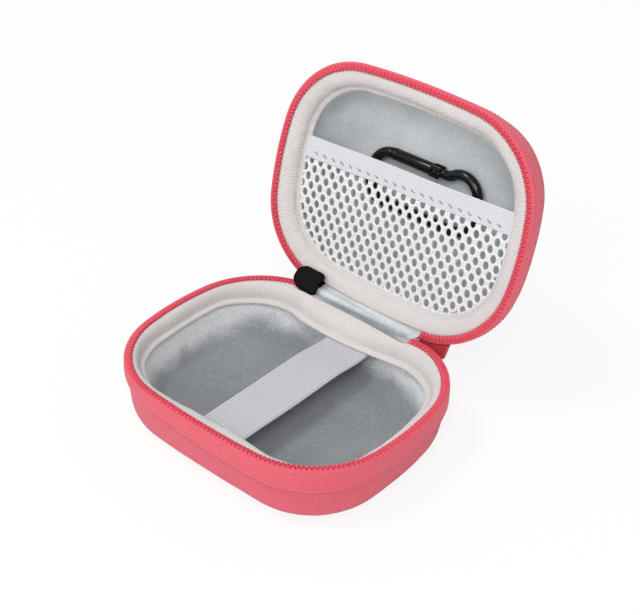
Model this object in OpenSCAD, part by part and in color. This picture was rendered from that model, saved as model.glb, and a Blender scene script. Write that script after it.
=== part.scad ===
// Small hard zip case for earbuds, shown open: two moulded fabric halves joined by a cloth hinge,
// a coil zip with its slider, an elastic strap in the base, and a net pocket in the lid that
// holds a small snap hook. Millimetres. The origin is the middle of the underside, +X runs
// along the hinge to the right, +Y points to the hinge and +Z is up.

/* [Case] */
// Width over the zip tape, along the hinge
case_w = 90; // [84:1:120]
// Depth over the zip tape, from front to hinge
case_d = 72; // [70:1:96]
// Radius of the four corners in plan
corner_r = 29; // [26:0.5:32]
// Depth of the base below the rim plane
base_depth = 20; // [18:0.5:30]
// Depth of the lid behind the rim plane
lid_depth = 19.4; // [18:0.5:30]
// Radius of the base's lower edge
base_edge_r = 7.5; // [7:0.5:12]
// Radius of the lid's far edge
lid_edge_r = 13; // [8:0.5:13.5]

/* [Wall] */
// Thickness of the ribbed outer cloth
cover_t = 0.8; // [0.5:0.1:1.2]
// Thickness of the moulded foam core
core_t = 3; // [2:0.1:4]
// Thickness of the velvet lining
lining_t = 0.6; // [0.4:0.1:1]
// How far the wall's edge stays below the rim plane
rim_drop = 1.4; // [1.2:0.1:2]
// Gap between each half's highest edge and the rim plane
rim_gap = 0.1; // [0.05:0.05:0.3]

/* [Zip] */
// Thickness of the zip tape
tape_t = 0.6; // [0.4:0.1:0.9]
// Height of the tape band on each half
tape_h = 5.6; // [4.5:0.1:8]
// Width of the coil, measured across the rim
coil_w = 2.1; // [1.6:0.1:2.6]
// Thread diameter of the seams on the tape
thread_d = 0.3; // [0.2:0.05:0.4]
// Distance of the lower seam from the tape's edge
seam_in = 0.8; // [0.5:0.1:1.5]

/* [Binding] */
// Width of the soft binding roll, measured inwards from the coil
binding_w = 5.6; // [4.5:0.1:8]
// Depth of the roll's inner edge below the rim plane
binding_h = 4; // [3.2:0.1:5]

/* [Strap] */
// Width of the elastic strap in the base
strap_w = 15; // [10:0.5:22]
// Thickness of the elastic strap
strap_t = 1; // [0.6:0.1:1.6]
// Depth of the strap's upper face below the rim plane
strap_drop = 6; // [5:0.1:9]
// Sideways place of the strap's centre line
strap_x = 1; // [-12:0.5:12]

/* [Pocket] */
// Height of the elastic hem of the net pocket
hem_h = 6.8; // [5:0.1:9]
// Thickness of the hem
hem_t = 1.2; // [0.8:0.1:2]
// Distance of the hem's free edge from the case's centre line, towards the front
hem_y = 8.8; // [4:0.1:14]
// Thickness of the net
net_t = 0.6; // [0.4:0.1:1]
// Spacing of the net's gaps along a row
net_pitch = 3.5; // [3.4:0.1:5]
// Spacing between the net's rows
net_row = 2.55; // [2.5:0.05:3.5]
// Width of one gap in the net
net_gap_w = 2.2; // [1.2:0.1:2.4]
// Height of one gap in the net
net_gap_h = 3.3; // [2:0.1:3.6]
// Length of one stitch along the hem
stitch_l = 1.9; // [1:0.1:2.2]
// Spacing of the stitches along the hem
stitch_pitch = 3.2; // [2.8:0.1:5]
// Distance of the stitches from the hem's sewn edge
stitch_in = 2; // [1:0.1:3]

/* [Hinge] */
// Angle that the lid stands open
open_angle = 105; // [90:1:115]
// Width of the cloth hinge
hinge_w = 38; // [30:1:38]
// Distance of the hinge line inside the back of the case
hinge_in = 0.65; // [0.5:0.05:0.9]
// Distance of the hinge line below the rim plane
hinge_drop = 1.5; // [1.3:0.1:1.8]
// Thickness of the outer hinge cloth
hinge_cover_t = 0.8; // [0.6:0.1:1]
// Height of the outer hinge cloth on each half
hinge_cover_h = 5.6; // [4.5:0.1:8]
// Thickness of the velvet inside the hinge
gusset_t = 0.8; // [0.5:0.1:1]

/* [Loop] */
// Width of the ribbon of the hanging loop
loop_w = 5.5; // [4.5:0.5:9]
// Thickness of the ribbon
ribbon_t = 0.5; // [0.4:0.05:0.7]
// Reach of the loop past the end of the hinge
loop_reach = 10; // [7:0.5:14]
// Rise of the loop towards its end, in degrees
loop_rise = 8; // [0:1:10]

/* [Slider] */
// Length of the slider body along the zip
slider_l = 9.5; // [8.5:0.1:10.5]
// Half width of the slider's plates
slider_hw = 3.3; // [3:0.1:3.5]
// Thickness of each slider plate
plate_t = 1.1; // [0.9:0.1:1.2]
// How far the slider's end stands inside the end of the cloth hinge
slider_tuck = 2.2; // [1.5:0.1:2.6]
// Travel of the slider that the notch in the rims allows
slider_travel = 4; // [3:0.5:7]
// Length of the pull from its pivot to its tip
pull_l = 13.5; // [10:0.5:14]
// Width of the pull
pull_w = 4.2; // [3:0.1:5]
// Thickness of the pull
pull_t = 1.2; // [1:0.1:1.5]

/* [Snap hook] */
// Diameter of the hook's bent rod
rod_d = 3.2; // [2.6:0.1:3.6]
// Outer diameter of the gate tube
gate_d = 3.7; // [3.5:0.1:4]
// Overall length of the hook
hook_l = 40.8; // [38:0.2:44]
// Overall height of the hook over its straight sides
hook_h = 18.7; // [17:0.1:20]
// Diameter of the gate's pivot pin
pin_d = 1.2; // [1:0.05:1.3]
// Distance of the hook's gate side from the case's centre line, towards the front
hook_y = 11.4; // [9:0.1:13]
// Sideways place of the hook's middle
hook_x = 0.8; // [-3:0.1:3]
// Clearance between the hook and the lid's lining
hook_gap = 0.1; // [0.1:0.05:0.3]

/* [Hidden] */
$fn = 80;

// Overlap that joins two shapes of one solid
lap = 0.4;
// Side of a block that is larger than the case
far = 200;

half_w = case_w / 2;
half_d = case_d / 2;
corner_x = half_w - corner_r;
corner_y = half_d - corner_r;

wall_t = cover_t + core_t + lining_t;
tape_top = 0.35;
strip_gap = 0.1;
binding_out = tape_t + coil_w + 0.05;
hinge_y = half_d - hinge_in;
hinge_z = base_depth - hinge_drop;

// Net pocket: the net and the hem lie against the underside of the binding roll.
net_in = tape_t + wall_t + 0.5;
hem_low = hem_h - hem_y;
hem_row_y = hem_low - stitch_in;

// Slider, in its own frame: x along the zip, y out of the wall, z across the rim plane.
plate_clear = 0.2;
inner_plate_y = -(binding_out + plate_clear);
arch_r = 0.55;
ring_r = 0.45;
ring_bore = 1;
ring_seat = 0.15;
arch_y = plate_clear + plate_t + ring_bore + 2 * ring_r + 0.1;
slider_x = -(hinge_w / 2 - slider_tuck + slider_l / 2);
// Turn of the back left corner where the slider stands
slider_at = asin((-slider_x - corner_x) / corner_r);
slider_y = corner_y + corner_r * cos(slider_at);
way_clear = 0.35;
way_x0 = slider_x - slider_l / 2 - slider_travel - way_clear;
way_x1 = slider_x + slider_l / 2 * cos(slider_at) + (plate_t - inner_plate_y) * sin(slider_at)
    + way_clear;
// Reach of the inner plate's corners from the hinge line, as the lid swings
plate_dy = hinge_y - slider_y - inner_plate_y + plate_t + slider_l / 2 * sin(slider_at);
base_way = hinge_y - norm([plate_dy, slider_hw - hinge_drop]) - way_clear;
lid_way = hinge_y - norm([plate_dy, slider_hw + hinge_drop]) - way_clear;
way_h = slider_hw + 1.3;

// Snap hook, in its own frame: x to the right, y towards the hinge, z out of the lid.
rod_r = rod_d / 2;
gate_r = gate_d / 2;
pin_r = pin_d / 2;
hook_z = lid_depth - wall_t - gate_r - hook_gap;
hook_left = -hook_l / 2 + rod_r;
hook_right = hook_l / 2 - rod_r;
gate_y = gate_r;
back_y = hook_h - rod_r;
left_r = 6;
nose_r = 6.3;
nose_turn = atan(3 / 4);
nose_top = -1.55 + rod_r;
nose_y = nose_top + nose_r;
neck_drop = gate_y - (nose_y - nose_r * cos(nose_turn));
neck_r = neck_drop / (1 - cos(nose_turn));
nose_x = hook_right - nose_r;
neck_x = nose_x - (nose_r + neck_r) * sin(nose_turn);
gate_left = hook_left + left_r + 0.2;
pin_x = neck_x - 3.6;
gate_right = pin_x + gate_r - 0.15;
tongue_t = 1.6;
tongue_end_r = 1.2;
tongue_root = pin_x + norm([gate_right - pin_x, gate_r]) + 0.2;
slot_t = tongue_t + 0.2;
slot_left = pin_x - tongue_end_r - 0.25;
latch_t = 1.4;
latch_l = 1.7;
gate_bore_r = 1;
spring_seat = pin_x - 9;
plunger_l = 2.4;
plunger_r = 0.95;

// Distance of a point from the outline, negative inside
function inside(x, y) =
    let (px = abs(x) - corner_x, py = abs(y) - corner_y)
    norm([max(px, 0), max(py, 0)]) + min(max(px, py), 0) - corner_r;

// Sweeps a flat profile round the outline. Its x is the distance out of the outline.
module sweep_ring() {
    for (i = [0:3])
        let (a = i % 2 == 0 ? corner_x : corner_y, b = i % 2 == 0 ? corner_y : corner_x)
            rotate([0, 0, 90 * i]) {
                translate([a, b, 0])
                    rotate_extrude(angle = 90)
                        translate([corner_r, 0])
                            children();
                translate([a + corner_r, b, 0])
                    rotate([90, 0, 0])
                        linear_extrude(2 * b)
                            children();
            }
}

// Flat shape that fills the outline, moved out by u
module outline(u) {
    r = corner_r + u;
    square([2 * corner_x, 2 * (corner_y + r)], center = true);
    for (x = [-1, 1])
        translate([x > 0 ? corner_x : -corner_x - r, -corner_y])
            square([r, 2 * corner_y]);
    for (i = [0:3])
        let (a = i % 2 == 0 ? corner_x : corner_y, b = i % 2 == 0 ? corner_y : corner_x)
            rotate(90 * i)
                translate([a, b])
                    intersection() {
                        circle(r = r);
                        square(r);
                    }
}

// Section of one layer of the wall, between the depths k0 and k1 under the cover's face
module layer_section(depth, edge_r, k0, k1) {
    translate([-tape_t - edge_r, edge_r - depth]) {
        // Wall above the rounded edge
        translate([edge_r - k1, 0])
            square([k1 - k0, depth - edge_r - rim_drop]);
        // Rounded edge
        intersection() {
            difference() {
                circle(r = edge_r - k0, $fn = 48);
                circle(r = edge_r - k1, $fn = 48);
            }
            translate([0, -edge_r])
                square(edge_r);
        }
        // Strip that laps over the floor
        translate([-lap, k0 - edge_r])
            square([lap, k1 - k0]);
    }
}

// One layer of a half, as a tray with its rim at z = 0
module layer(depth, edge_r, k0, k1) {
    sweep_ring()
        layer_section(depth, edge_r, k0, k1);
    translate([0, 0, k0 - depth])
        linear_extrude(k1 - k0)
            outline(-tape_t - edge_r - lap / 2);
}

// Places a half's parts: the base below the rim plane, the lid mirrored and swung open
module in_base() {
    translate([0, 0, base_depth])
        children();
}

module swung(angle) {
    translate([0, hinge_y, hinge_z])
        rotate([-angle, 0, 0])
            translate([0, -hinge_y, -hinge_z])
                children();
}

module in_lid() {
    swung(open_angle)
        translate([0, 0, base_depth])
            mirror([0, 0, 1])
                children();
}

module in_hinge() {
    swung(open_angle / 2)
        translate([0, 0, base_depth])
            children();
}

// Room for the slider where it crosses the rims, from y = back outwards
module slider_way(back) {
    translate([way_x0, back, -way_h])
        cube([way_x1 - way_x0, far, far]);
}

// Keeps the tape and the coil off the cloth hinge
module hinge_gap() {
    translate([-hinge_w / 2, 0, -far / 2])
        cube([hinge_w, far, far]);
}

module binding(way) {
    inner = binding_out + binding_w;
    difference() {
        sweep_ring()
            polygon([[-binding_out, -rim_drop], [-binding_out, -0.9],
                [-binding_out - 0.7, -rim_gap], [-binding_out - binding_w * 0.6, -rim_gap],
                [-binding_out - binding_w * 0.86, -0.9], [-inner, -2.4],
                [0.2 - inner, -binding_h], [-tape_t - wall_t, -binding_h],
                [-tape_t - wall_t, -rim_drop]]);
        slider_way(way);
    }
}

module tape(way) {
    difference() {
        sweep_ring()
            translate([-tape_t, -tape_h])
                square([tape_t, tape_h - tape_top]);
        hinge_gap();
        slider_way(way);
    }
}

module coil(way) {
    edge = 0.35;
    difference() {
        sweep_ring()
            polygon([[-tape_t, -rim_drop], [-tape_t, -rim_gap - edge],
                [-tape_t - edge, -rim_gap], [edge - tape_t - coil_w, -rim_gap],
                [-tape_t - coil_w, -rim_gap - edge], [-tape_t - coil_w, -rim_drop]]);
        hinge_gap();
        slider_way(way);
    }
}

// Two lines of thread on the tape: near its free edge and under the coil
module seams(way) {
    difference() {
        for (z = [-tape_h + seam_in, -rim_drop - seam_in])
            sweep_ring()
                polygon([[0, z - thread_d / 2], [thread_d / 2, z], [0, z + thread_d / 2]]);
        hinge_gap();
        slider_way(way);
    }
}

module half_layer(depth, edge_r, k0, k1, way) {
    difference() {
        layer(depth, edge_r, k0, k1);
        slider_way(way);
    }
}

// Base
module base_cover() {
    color([0.91, 0.42, 0.5])
        in_base()
            half_layer(base_depth, base_edge_r, 0, cover_t, base_way);
}

module base_core() {
    color([0.25, 0.25, 0.27])
        in_base()
            half_layer(base_depth, base_edge_r, cover_t, cover_t + core_t, base_way);
}

module base_lining() {
    color([0.58, 0.6, 0.61])
        in_base()
            half_layer(base_depth, base_edge_r, cover_t + core_t, wall_t, base_way);
}

module base_binding() {
    color([0.87, 0.85, 0.84])
        in_base()
            binding(base_way);
}

module lower_zip_tape() {
    color([0.91, 0.4, 0.47])
        in_base()
            tape(base_way);
}

module lower_zip_coil() {
    color([0.87, 0.25, 0.33])
        in_base()
            coil(base_way);
}

module lower_tape_seams() {
    color([0.95, 0.55, 0.6])
        in_base()
            seams(base_way);
}

// The strap's ends meet the lining's walls
module retaining_strap() {
    color([0.78, 0.78, 0.8])
        in_base()
            intersection() {
                translate([strap_x - strap_w / 2, -half_d, -strap_drop - strap_t])
                    cube([strap_w, case_d, strap_t]);
                translate([0, 0, -strap_drop - strap_t - 1])
                    linear_extrude(strap_t + 2)
                        outline(-tape_t - wall_t - 0.02);
            }
}

// Hanging loop: a ribbon folded back on itself, flat on the hinge cloth where it is sewn
hug_y = half_d - tape_t + hinge_cover_t + 0.02;
loop_x0 = hinge_w / 2 - 6;
loop_x1 = hinge_w / 2 - 1.5;
loop_end = hinge_w / 2 + loop_reach;
loop_top = base_depth - 3.7;
// The layers part by this much, and step this far out past the sewn stretch
loop_gap = 0.4;
loop_step = 1.35;
loop_run = 3;
turn_r = ribbon_t + loop_gap / 2;
turn_x = loop_end - turn_r;
turn_y = hug_y + loop_step + turn_r;

// Points round the fold at the ribbon's end
function fold(r) = [for (a = [-90:30:90]) [turn_x + r * cos(a), turn_y + r * sin(a)]];

module tilt_loop() {
    translate([loop_x1, 0, loop_top - loop_w])
        rotate([0, -loop_rise, 0])
            translate([-loop_x1, 0, 0])
                children();
}

module hang_loop() {
    color([0.78, 0.13, 0.2])
        tilt_loop()
            linear_extrude(loop_w)
                difference() {
                    polygon(concat([[loop_x0, hug_y], [loop_x1, hug_y],
                        [loop_x1 + loop_run, turn_y - turn_r]], fold(turn_r),
                        [[loop_x1 + loop_run, turn_y + turn_r],
                        [loop_x1, hug_y + 2 * ribbon_t], [loop_x0, hug_y + 2 * ribbon_t]]));
                    polygon(concat([[loop_x1 + 1, hug_y + ribbon_t + loop_step / 2],
                        [loop_x1 + loop_run, turn_y - loop_gap / 2]], fold(loop_gap / 2),
                        [[loop_x1 + loop_run, turn_y + loop_gap / 2]]));
                }
}

// Short bar of dense stitches that sews the loop down
module loop_bar_tack() {
    color([0.86, 0.3, 0.36])
        tilt_loop()
            translate([loop_x0 + 1.2, hug_y + 2 * ribbon_t + 0.05, 1])
                for (i = [0:9])
                    translate([0, 0, i * (loop_w - 2) / 10])
                        cube([2.2, 0.3, 0.35]);
}

// Lid
module lid_cover() {
    color([0.91, 0.42, 0.5])
        in_lid()
            half_layer(lid_depth, lid_edge_r, 0, cover_t, lid_way);
}

module lid_core() {
    color([0.25, 0.25, 0.27])
        in_lid()
            half_layer(lid_depth, lid_edge_r, cover_t, cover_t + core_t, lid_way);
}

module lid_lining() {
    color([0.64, 0.66, 0.66])
        in_lid()
            half_layer(lid_depth, lid_edge_r, cover_t + core_t, wall_t, lid_way);
}

module lid_binding() {
    color([0.87, 0.85, 0.84])
        in_lid()
            binding(lid_way);
}

module upper_zip_tape() {
    color([0.91, 0.4, 0.47])
        in_lid()
            tape(lid_way);
}

module upper_zip_coil() {
    color([0.87, 0.25, 0.33])
        in_lid()
            coil(lid_way);
}

module upper_tape_seams() {
    color([0.95, 0.55, 0.6])
        in_lid()
            seams(lid_way);
}

// Net: staggered rows of six-sided gaps, kept clear of the binding's edge and of the hem
module pocket_net() {
    rows = ceil((half_d - hem_low) / net_row);
    cols = ceil(half_w / net_pitch);
    rim = binding_out + binding_w - 0.9;
    first = hem_low + net_gap_h / 2 + 0.5;
    color([0.93, 0.93, 0.94])
        in_lid()
            translate([0, 0, -binding_h - net_t])
                linear_extrude(net_t)
                    difference() {
                        intersection() {
                            outline(-net_in);
                            translate([-half_w, hem_low])
                                square([case_w, case_d]);
                        }
                        for (j = [0:rows], i = [-cols:cols])
                            let (x = (i + (j % 2) / 2) * net_pitch, y = first + j * net_row)
                                if (inside(x, y) < -rim - net_gap_h / 2)
                                    translate([x, y])
                                        net_gap();
                    }
}

module net_gap() {
    w = net_gap_w / 2;
    h = net_gap_h / 2;
    polygon([[w, -h / 2], [w, h / 2], [0, h], [-w, h / 2], [-w, -h / 2], [0, -h]]);
}

module pocket_hem() {
    color([0.86, 0.86, 0.88])
        in_lid()
            translate([0, 0, -binding_h - hem_t])
                linear_extrude(hem_t)
                    intersection() {
                        outline(-net_in);
                        translate([-half_w, -hem_y])
                            square([case_w, hem_h]);
                    }
}

module hem_stitches() {
    n = floor((half_w - binding_out - binding_w - 2) / stitch_pitch);
    color([0.97, 0.97, 0.98])
        in_lid()
            for (i = [-n:n])
                translate([i * stitch_pitch - stitch_l / 2, hem_row_y, -binding_h])
                    cube([stitch_l, 0.4, 0.2]);
}

// Hinge cloths, drawn across the hinge with y and z and then extruded along x
// Turns a point of the closed lid into the open pose
function opened(y, z) = [hinge_y + (y - hinge_y) * cos(open_angle) + (z - hinge_z) * sin(open_angle),
    hinge_z - (y - hinge_y) * sin(open_angle) + (z - hinge_z) * cos(open_angle)];

// The strips run from the slider's room to just inside the hinge's right end
module hinge_strip() {
    rotate([90, 0, 90])
        translate([0, 0, way_x1])
            linear_extrude(hinge_w / 2 - strip_gap - way_x1)
                children();
}

// Outer cloth: one leg down the back of each half, joined at the fold
module hinge_cover() {
    t = hinge_cover_t;
    rim = base_depth;
    y = half_d - tape_t;
    color([0.82, 0.26, 0.34])
        hinge_strip()
            polygon([[y, rim - hinge_cover_h], [y, rim - rim_drop - 0.2],
                opened(y, rim + rim_drop), opened(y, rim + hinge_cover_h),
                opened(y + t, rim + hinge_cover_h), opened(y + t, rim + rim_drop + 0.3),
                [y + t, rim - rim_drop - 1], [y + t, rim - hinge_cover_h]]);
}

// Velvet inside: it rests on the edge of each half's wall and dips between them
module hinge_lining() {
    low = base_depth - rim_drop;
    up = base_depth + rim_drop;
    in_y = half_d - binding_out + strip_gap;
    out_y = half_d - 1.1;
    lid_out = opened(out_y, up - gusset_t);
    color([0.68, 0.7, 0.71])
        hinge_strip()
            polygon([[in_y, low], [half_d, low], [half_d + 1.4, low - 0.25],
                opened(out_y, up), opened(in_y, up), opened(in_y, up - gusset_t),
                [lid_out[0] - 0.35, lid_out[1] + 0.85], [half_d + 1.2, low + 0.55],
                [half_d - 0.4, low + gusset_t + 0.1], [in_y, low + gusset_t]]);
}

// Slider: two plates joined by a wedge, with an arch for the pull
module at_slider() {
    in_hinge()
        translate([slider_x, slider_y, 0])
            rotate([0, 0, slider_at])
                children();
}

module plate_shape() {
    l = slider_l / 2;
    polygon([[-l, -slider_hw * 0.7], [-l * 0.6, -slider_hw], [l * 0.1, -slider_hw],
        [l, -slider_hw * 0.62], [l, slider_hw * 0.62], [l * 0.1, slider_hw],
        [-l * 0.6, slider_hw], [-l, slider_hw * 0.7]]);
}

module zip_slider() {
    post = 1.8;
    legs = slider_l / 2 - 1.4;
    color([0.1, 0.1, 0.11])
        at_slider() {
            for (y = [inner_plate_y - plate_t, plate_clear])
                translate([0, y + plate_t, 0])
                    rotate([90, 0, 0])
                        linear_extrude(plate_t)
                            plate_shape();
            // Wedge between the plates
            translate([-slider_l / 2 + 0.6, inner_plate_y - 0.2, -0.9])
                cube([2.6, plate_clear - inner_plate_y + 0.4, 1.8]);
            // Arch
            for (x = [-legs, legs])
                translate([x - post / 2, plate_clear + plate_t - lap, -post / 2])
                    cube([post, arch_y + arch_r - plate_clear - plate_t + lap, post]);
            translate([-legs, arch_y, 0])
                rotate([0, 90, 0])
                    cylinder(r = arch_r, h = 2 * legs);
        }
}

// Middle of the arch, where the pull hangs, in the closed frame
arch_at = [slider_x - arch_y * sin(slider_at), slider_y + arch_y * cos(slider_at)];
arch_dy = arch_at[1] - hinge_y;
arch_world = [arch_at[0], hinge_y + arch_dy * cos(open_angle / 2)
    + hinge_drop * sin(open_angle / 2), hinge_z - arch_dy * sin(open_angle / 2)
    + hinge_drop * cos(open_angle / 2)];

module slider_pull() {
    ring_c = -(ring_bore - arch_r - ring_seat);
    color([0.11, 0.11, 0.12])
        translate(arch_world) {
            translate([0, 0, ring_c])
                rotate([0, 90, 0])
                    rotate_extrude()
                        translate([ring_bore + ring_r, 0])
                            circle(r = ring_r, $fn = 32);
            translate([-pull_w / 2, -pull_t / 2, -pull_l + pull_w / 2])
                cube([pull_w, pull_t, pull_l - pull_w / 2 - ring_bore - ring_r * 1.2 + ring_c]);
            translate([0, pull_t / 2, -pull_l + pull_w / 2])
                rotate([90, 0, 0])
                    cylinder(d = pull_w, h = pull_t);
        }
}

// Snap hook: everything lies in one plane, parallel to the lid's lining
module at_hook() {
    in_lid()
        translate([hook_x, -hook_y, -hook_z])
            children();
}

module rod(x0, y0, x1, y1) {
    translate([x0, y0, 0])
        rotate([0, 0, atan2(y1 - y0, x1 - x0)])
            rotate([0, 90, 0])
                cylinder(r = rod_r, h = norm([x1 - x0, y1 - y0]), $fn = 48);
}

// Bend of the rod about (x, y), from angle a through the angle t
module bend(x, y, r, a, t) {
    translate([x, y, 0])
        rotate([0, 0, a])
            rotate_extrude(angle = t)
                translate([r, 0])
                    circle(r = rod_r, $fn = 48);
}

module hook_frame() {
    back_c = back_y - left_r;
    color([0.08, 0.08, 0.09])
        at_hook()
            difference() {
                union() {
                    bend(hook_left + left_r, gate_y + left_r, left_r, 180, 90);
                    rod(hook_left, gate_y + left_r, hook_left, back_c);
                    bend(hook_left + left_r, back_c, left_r, 90, 90);
                    rod(hook_left + left_r, back_y, nose_x, back_y);
                    bend(nose_x, back_y - nose_r, nose_r, 0, 90);
                    rod(hook_right, nose_y, hook_right, back_y - nose_r);
                    bend(nose_x, nose_y, nose_r, -90, 90);
                    bend(nose_x, nose_y, nose_r, -90 - nose_turn, nose_turn);
                    bend(neck_x, gate_y - neck_r, neck_r, 90 - nose_turn, nose_turn);
                    rod(tongue_root, gate_y, neck_x, gate_y);
                    // Flat tongue that the gate turns on
                    translate([pin_x, gate_y - tongue_end_r, -tongue_t / 2])
                        cube([tongue_root - pin_x + lap, 2 * tongue_end_r, tongue_t]);
                    translate([pin_x, gate_y, -tongue_t / 2])
                        cylinder(r = tongue_end_r, h = tongue_t);
                }
                translate([pin_x, gate_y, -gate_r])
                    cylinder(r = pin_r + 0.05, h = gate_d);
                // Slot for the gate's latch
                translate([gate_left - latch_l - 0.4, gate_y - gate_d, -latch_t / 2 - 0.2])
                    cube([latch_l + 0.5, 2 * gate_d, latch_t + 0.4]);
            }
}

module hook_gate() {
    color([0.1, 0.1, 0.11])
        at_hook()
            difference() {
                union() {
                    translate([gate_left, gate_y, 0])
                        rotate([0, 90, 0])
                            cylinder(r = gate_r, h = gate_right - gate_left, $fn = 64);
                    translate([gate_left - latch_l, gate_y - 0.9, -latch_t / 2])
                        cube([latch_l + lap, 1.8, latch_t]);
                }
                // Slot for the tongue
                translate([slot_left, gate_y - gate_d, -slot_t / 2])
                    cube([far, 2 * gate_d, slot_t]);
                // Bore for the spring and its plunger
                translate([spring_seat, gate_y, 0])
                    rotate([0, 90, 0])
                        cylinder(r = gate_bore_r, h = slot_left - spring_seat + 0.5);
                translate([pin_x, gate_y, -gate_r - 1])
                    cylinder(r = pin_r, h = gate_d + 2);
            }
}

module gate_pin() {
    color([0.25, 0.25, 0.26])
        at_hook()
            translate([pin_x, gate_y, -gate_r + 0.15])
                cylinder(r = pin_r, h = gate_d - 0.3);
}

module gate_plunger() {
    color([0.6, 0.6, 0.62])
        at_hook()
            translate([slot_left + 0.15 - plunger_l, gate_y, 0])
                rotate([0, 90, 0])
                    cylinder(r = plunger_r, h = plunger_l);
}

module gate_spring() {
    color([0.7, 0.7, 0.72])
        at_hook()
            translate([spring_seat, gate_y, 0])
                rotate([0, 90, 0])
                    difference() {
                        cylinder(r = plunger_r, h = slot_left + 0.15 - plunger_l - spring_seat);
                        translate([0, 0, -1])
                            cylinder(r = plunger_r - 0.35, h = far);
                    }
}

base_cover();
base_core();
base_lining();
base_binding();
lower_zip_tape();
lower_zip_coil();
lower_tape_seams();
retaining_strap();
hang_loop();
loop_bar_tack();
lid_cover();
lid_core();
lid_lining();
lid_binding();
upper_zip_tape();
upper_zip_coil();
upper_tape_seams();
pocket_net();
pocket_hem();
hem_stitches();
hinge_cover();
hinge_lining();
zip_slider();
slider_pull();
hook_frame();
hook_gate();
gate_pin();
gate_plunger();
gate_spring();
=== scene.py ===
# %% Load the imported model
import math
import bpy
import numpy as np
from mathutils import Matrix, Vector


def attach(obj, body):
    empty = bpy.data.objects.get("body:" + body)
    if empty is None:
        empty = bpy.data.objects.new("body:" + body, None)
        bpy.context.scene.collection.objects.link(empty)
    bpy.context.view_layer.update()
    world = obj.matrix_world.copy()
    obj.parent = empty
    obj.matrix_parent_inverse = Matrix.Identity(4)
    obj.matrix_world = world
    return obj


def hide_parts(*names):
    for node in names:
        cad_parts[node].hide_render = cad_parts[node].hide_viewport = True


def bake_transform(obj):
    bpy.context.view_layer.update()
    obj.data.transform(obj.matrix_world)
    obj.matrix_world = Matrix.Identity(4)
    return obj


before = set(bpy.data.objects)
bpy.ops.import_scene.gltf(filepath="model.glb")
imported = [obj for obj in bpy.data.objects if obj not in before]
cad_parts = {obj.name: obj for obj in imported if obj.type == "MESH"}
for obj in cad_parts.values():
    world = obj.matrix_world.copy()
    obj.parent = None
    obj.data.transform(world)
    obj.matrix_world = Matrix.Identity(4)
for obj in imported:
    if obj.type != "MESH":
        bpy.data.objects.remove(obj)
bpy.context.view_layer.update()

MM = 0.001
PI = math.pi

# %% [markdown]
# ## Sizes
# All lengths below are in millimetres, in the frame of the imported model: the origin is the
# middle of the underside, X runs along the hinge, Y points to the hinge and Z is up.
# A half of the case is drawn with its rim at z = 0 and its depth downwards.

# %% Sizes
BASE_H, LID_H = 20.0, 19.4    # depth of the base and of the lid
HALF_W, HALF_D = 45.0, 36.0   # half of the case along X and along Y
HINGE = (35.35, 18.5)         # y and z of the hinge line
OPEN = math.radians(105)      # how far the lid stands open at rest
PITCH = 1.35                  # from one tooth of the coil to the next

# %% [markdown]
# ## The outline
# The rim is a rounded rectangle with slightly bowed sides. It could be a curve that is drawn
# by hand, but eight arcs that meet smoothly give exact lengths, and the zip needs those.
# The path starts at the middle of the back and runs once round. Every long piece of the
# case, such as the tape, the coil and the binding, is swept along it.

# %% The outline
CORNER, FRONT_R, SIDE_R = 27.0, 250.0, 88.0  # radii of the corners and of the bowed sides
fc, sc = HALF_D - FRONT_R, HALF_W - SIDE_R   # centres of the long and the short sides
a1, a2, span = FRONT_R - CORNER, SIDE_R - CORNER, math.hypot(sc, fc)
along = (a1 * a1 - a2 * a2 + span * span) / (2 * span)
aside = math.sqrt(a1 * a1 - along * along)
cx = sc / span * along - fc / span * aside   # centre of a corner
cy = fc - fc / span * along - sc / span * aside
fa, sa = math.atan2(cy - fc, cx), math.atan2(cy, cx - sc)  # angles where arcs meet
ARCS = [(0, fc, FRONT_R, PI / 2, PI - fa), (-cx, cy, CORNER, PI - fa, PI - sa),
        (-sc, 0, SIDE_R, PI - sa, PI + sa), (-cx, -cy, CORNER, PI + sa, PI + fa),
        (0, -fc, FRONT_R, PI + fa, 2 * PI - fa), (cx, -cy, CORNER, 2 * PI - fa, 2 * PI - sa),
        (sc, 0, SIDE_R, 2 * PI - sa, 2 * PI + sa), (cx, cy, CORNER, 2 * PI + sa, 2 * PI + fa),
        (0, fc, FRONT_R, 2 * PI + fa, 2.5 * PI)]
ENDS = np.cumsum([0] + [r * (b - a) for _, _, r, a, b in ARCS])
LENGTH = float(ENDS[-1])
print("once round the rim:", round(LENGTH, 2), "mm")

# %% [markdown]
# ## Places on the outline
# A place on the rim is one number, the distance along the path. `path` turns it into a point
# and the direction that faces outwards there, which is all that a swept piece needs.


# %% Places on the outline
def path(s):
    """Points and outward directions at the distances s along the outline."""
    s = np.atleast_1d(np.asarray(s, float)) % LENGTH
    k = np.clip(np.searchsorted(ENDS, s, side="right") - 1, 0, len(ARCS) - 1)
    c = np.array(ARCS)[k]
    t = c[:, 3] + (s - ENDS[k]) / c[:, 2]
    n = np.stack([np.cos(t), np.sin(t)], 1)
    return c[:, :2] + n * c[:, 2:3], n


def steps(n, s0=0.0, s1=None):
    """n even distances; without s1 they run once round the outline."""
    return np.arange(n) * LENGTH / n if s1 is None else np.linspace(s0, s1, n)


def s_at_back(x):
    """Distance along the outline of the point of the back edge at this x."""
    return FRONT_R * (math.acos(x / FRONT_R) - PI / 2)


def knots_at(knots, s, column=1):
    """A value given at a few distances along the outline, read at the distances s."""
    return np.interp(s % LENGTH, knots[:, 0], knots[:, column], period=LENGTH)


print("the path starts at", path(0)[0][0].round(2))

# %% [markdown]
# ## Base and lid in their places
# Both halves are drawn lying flat, since a half is easiest to think about that way. `place`
# lifts a half's points to the rim plane, and turns those of the lid about the hinge line, as
# far as the lid stands open in the photograph.


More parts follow.
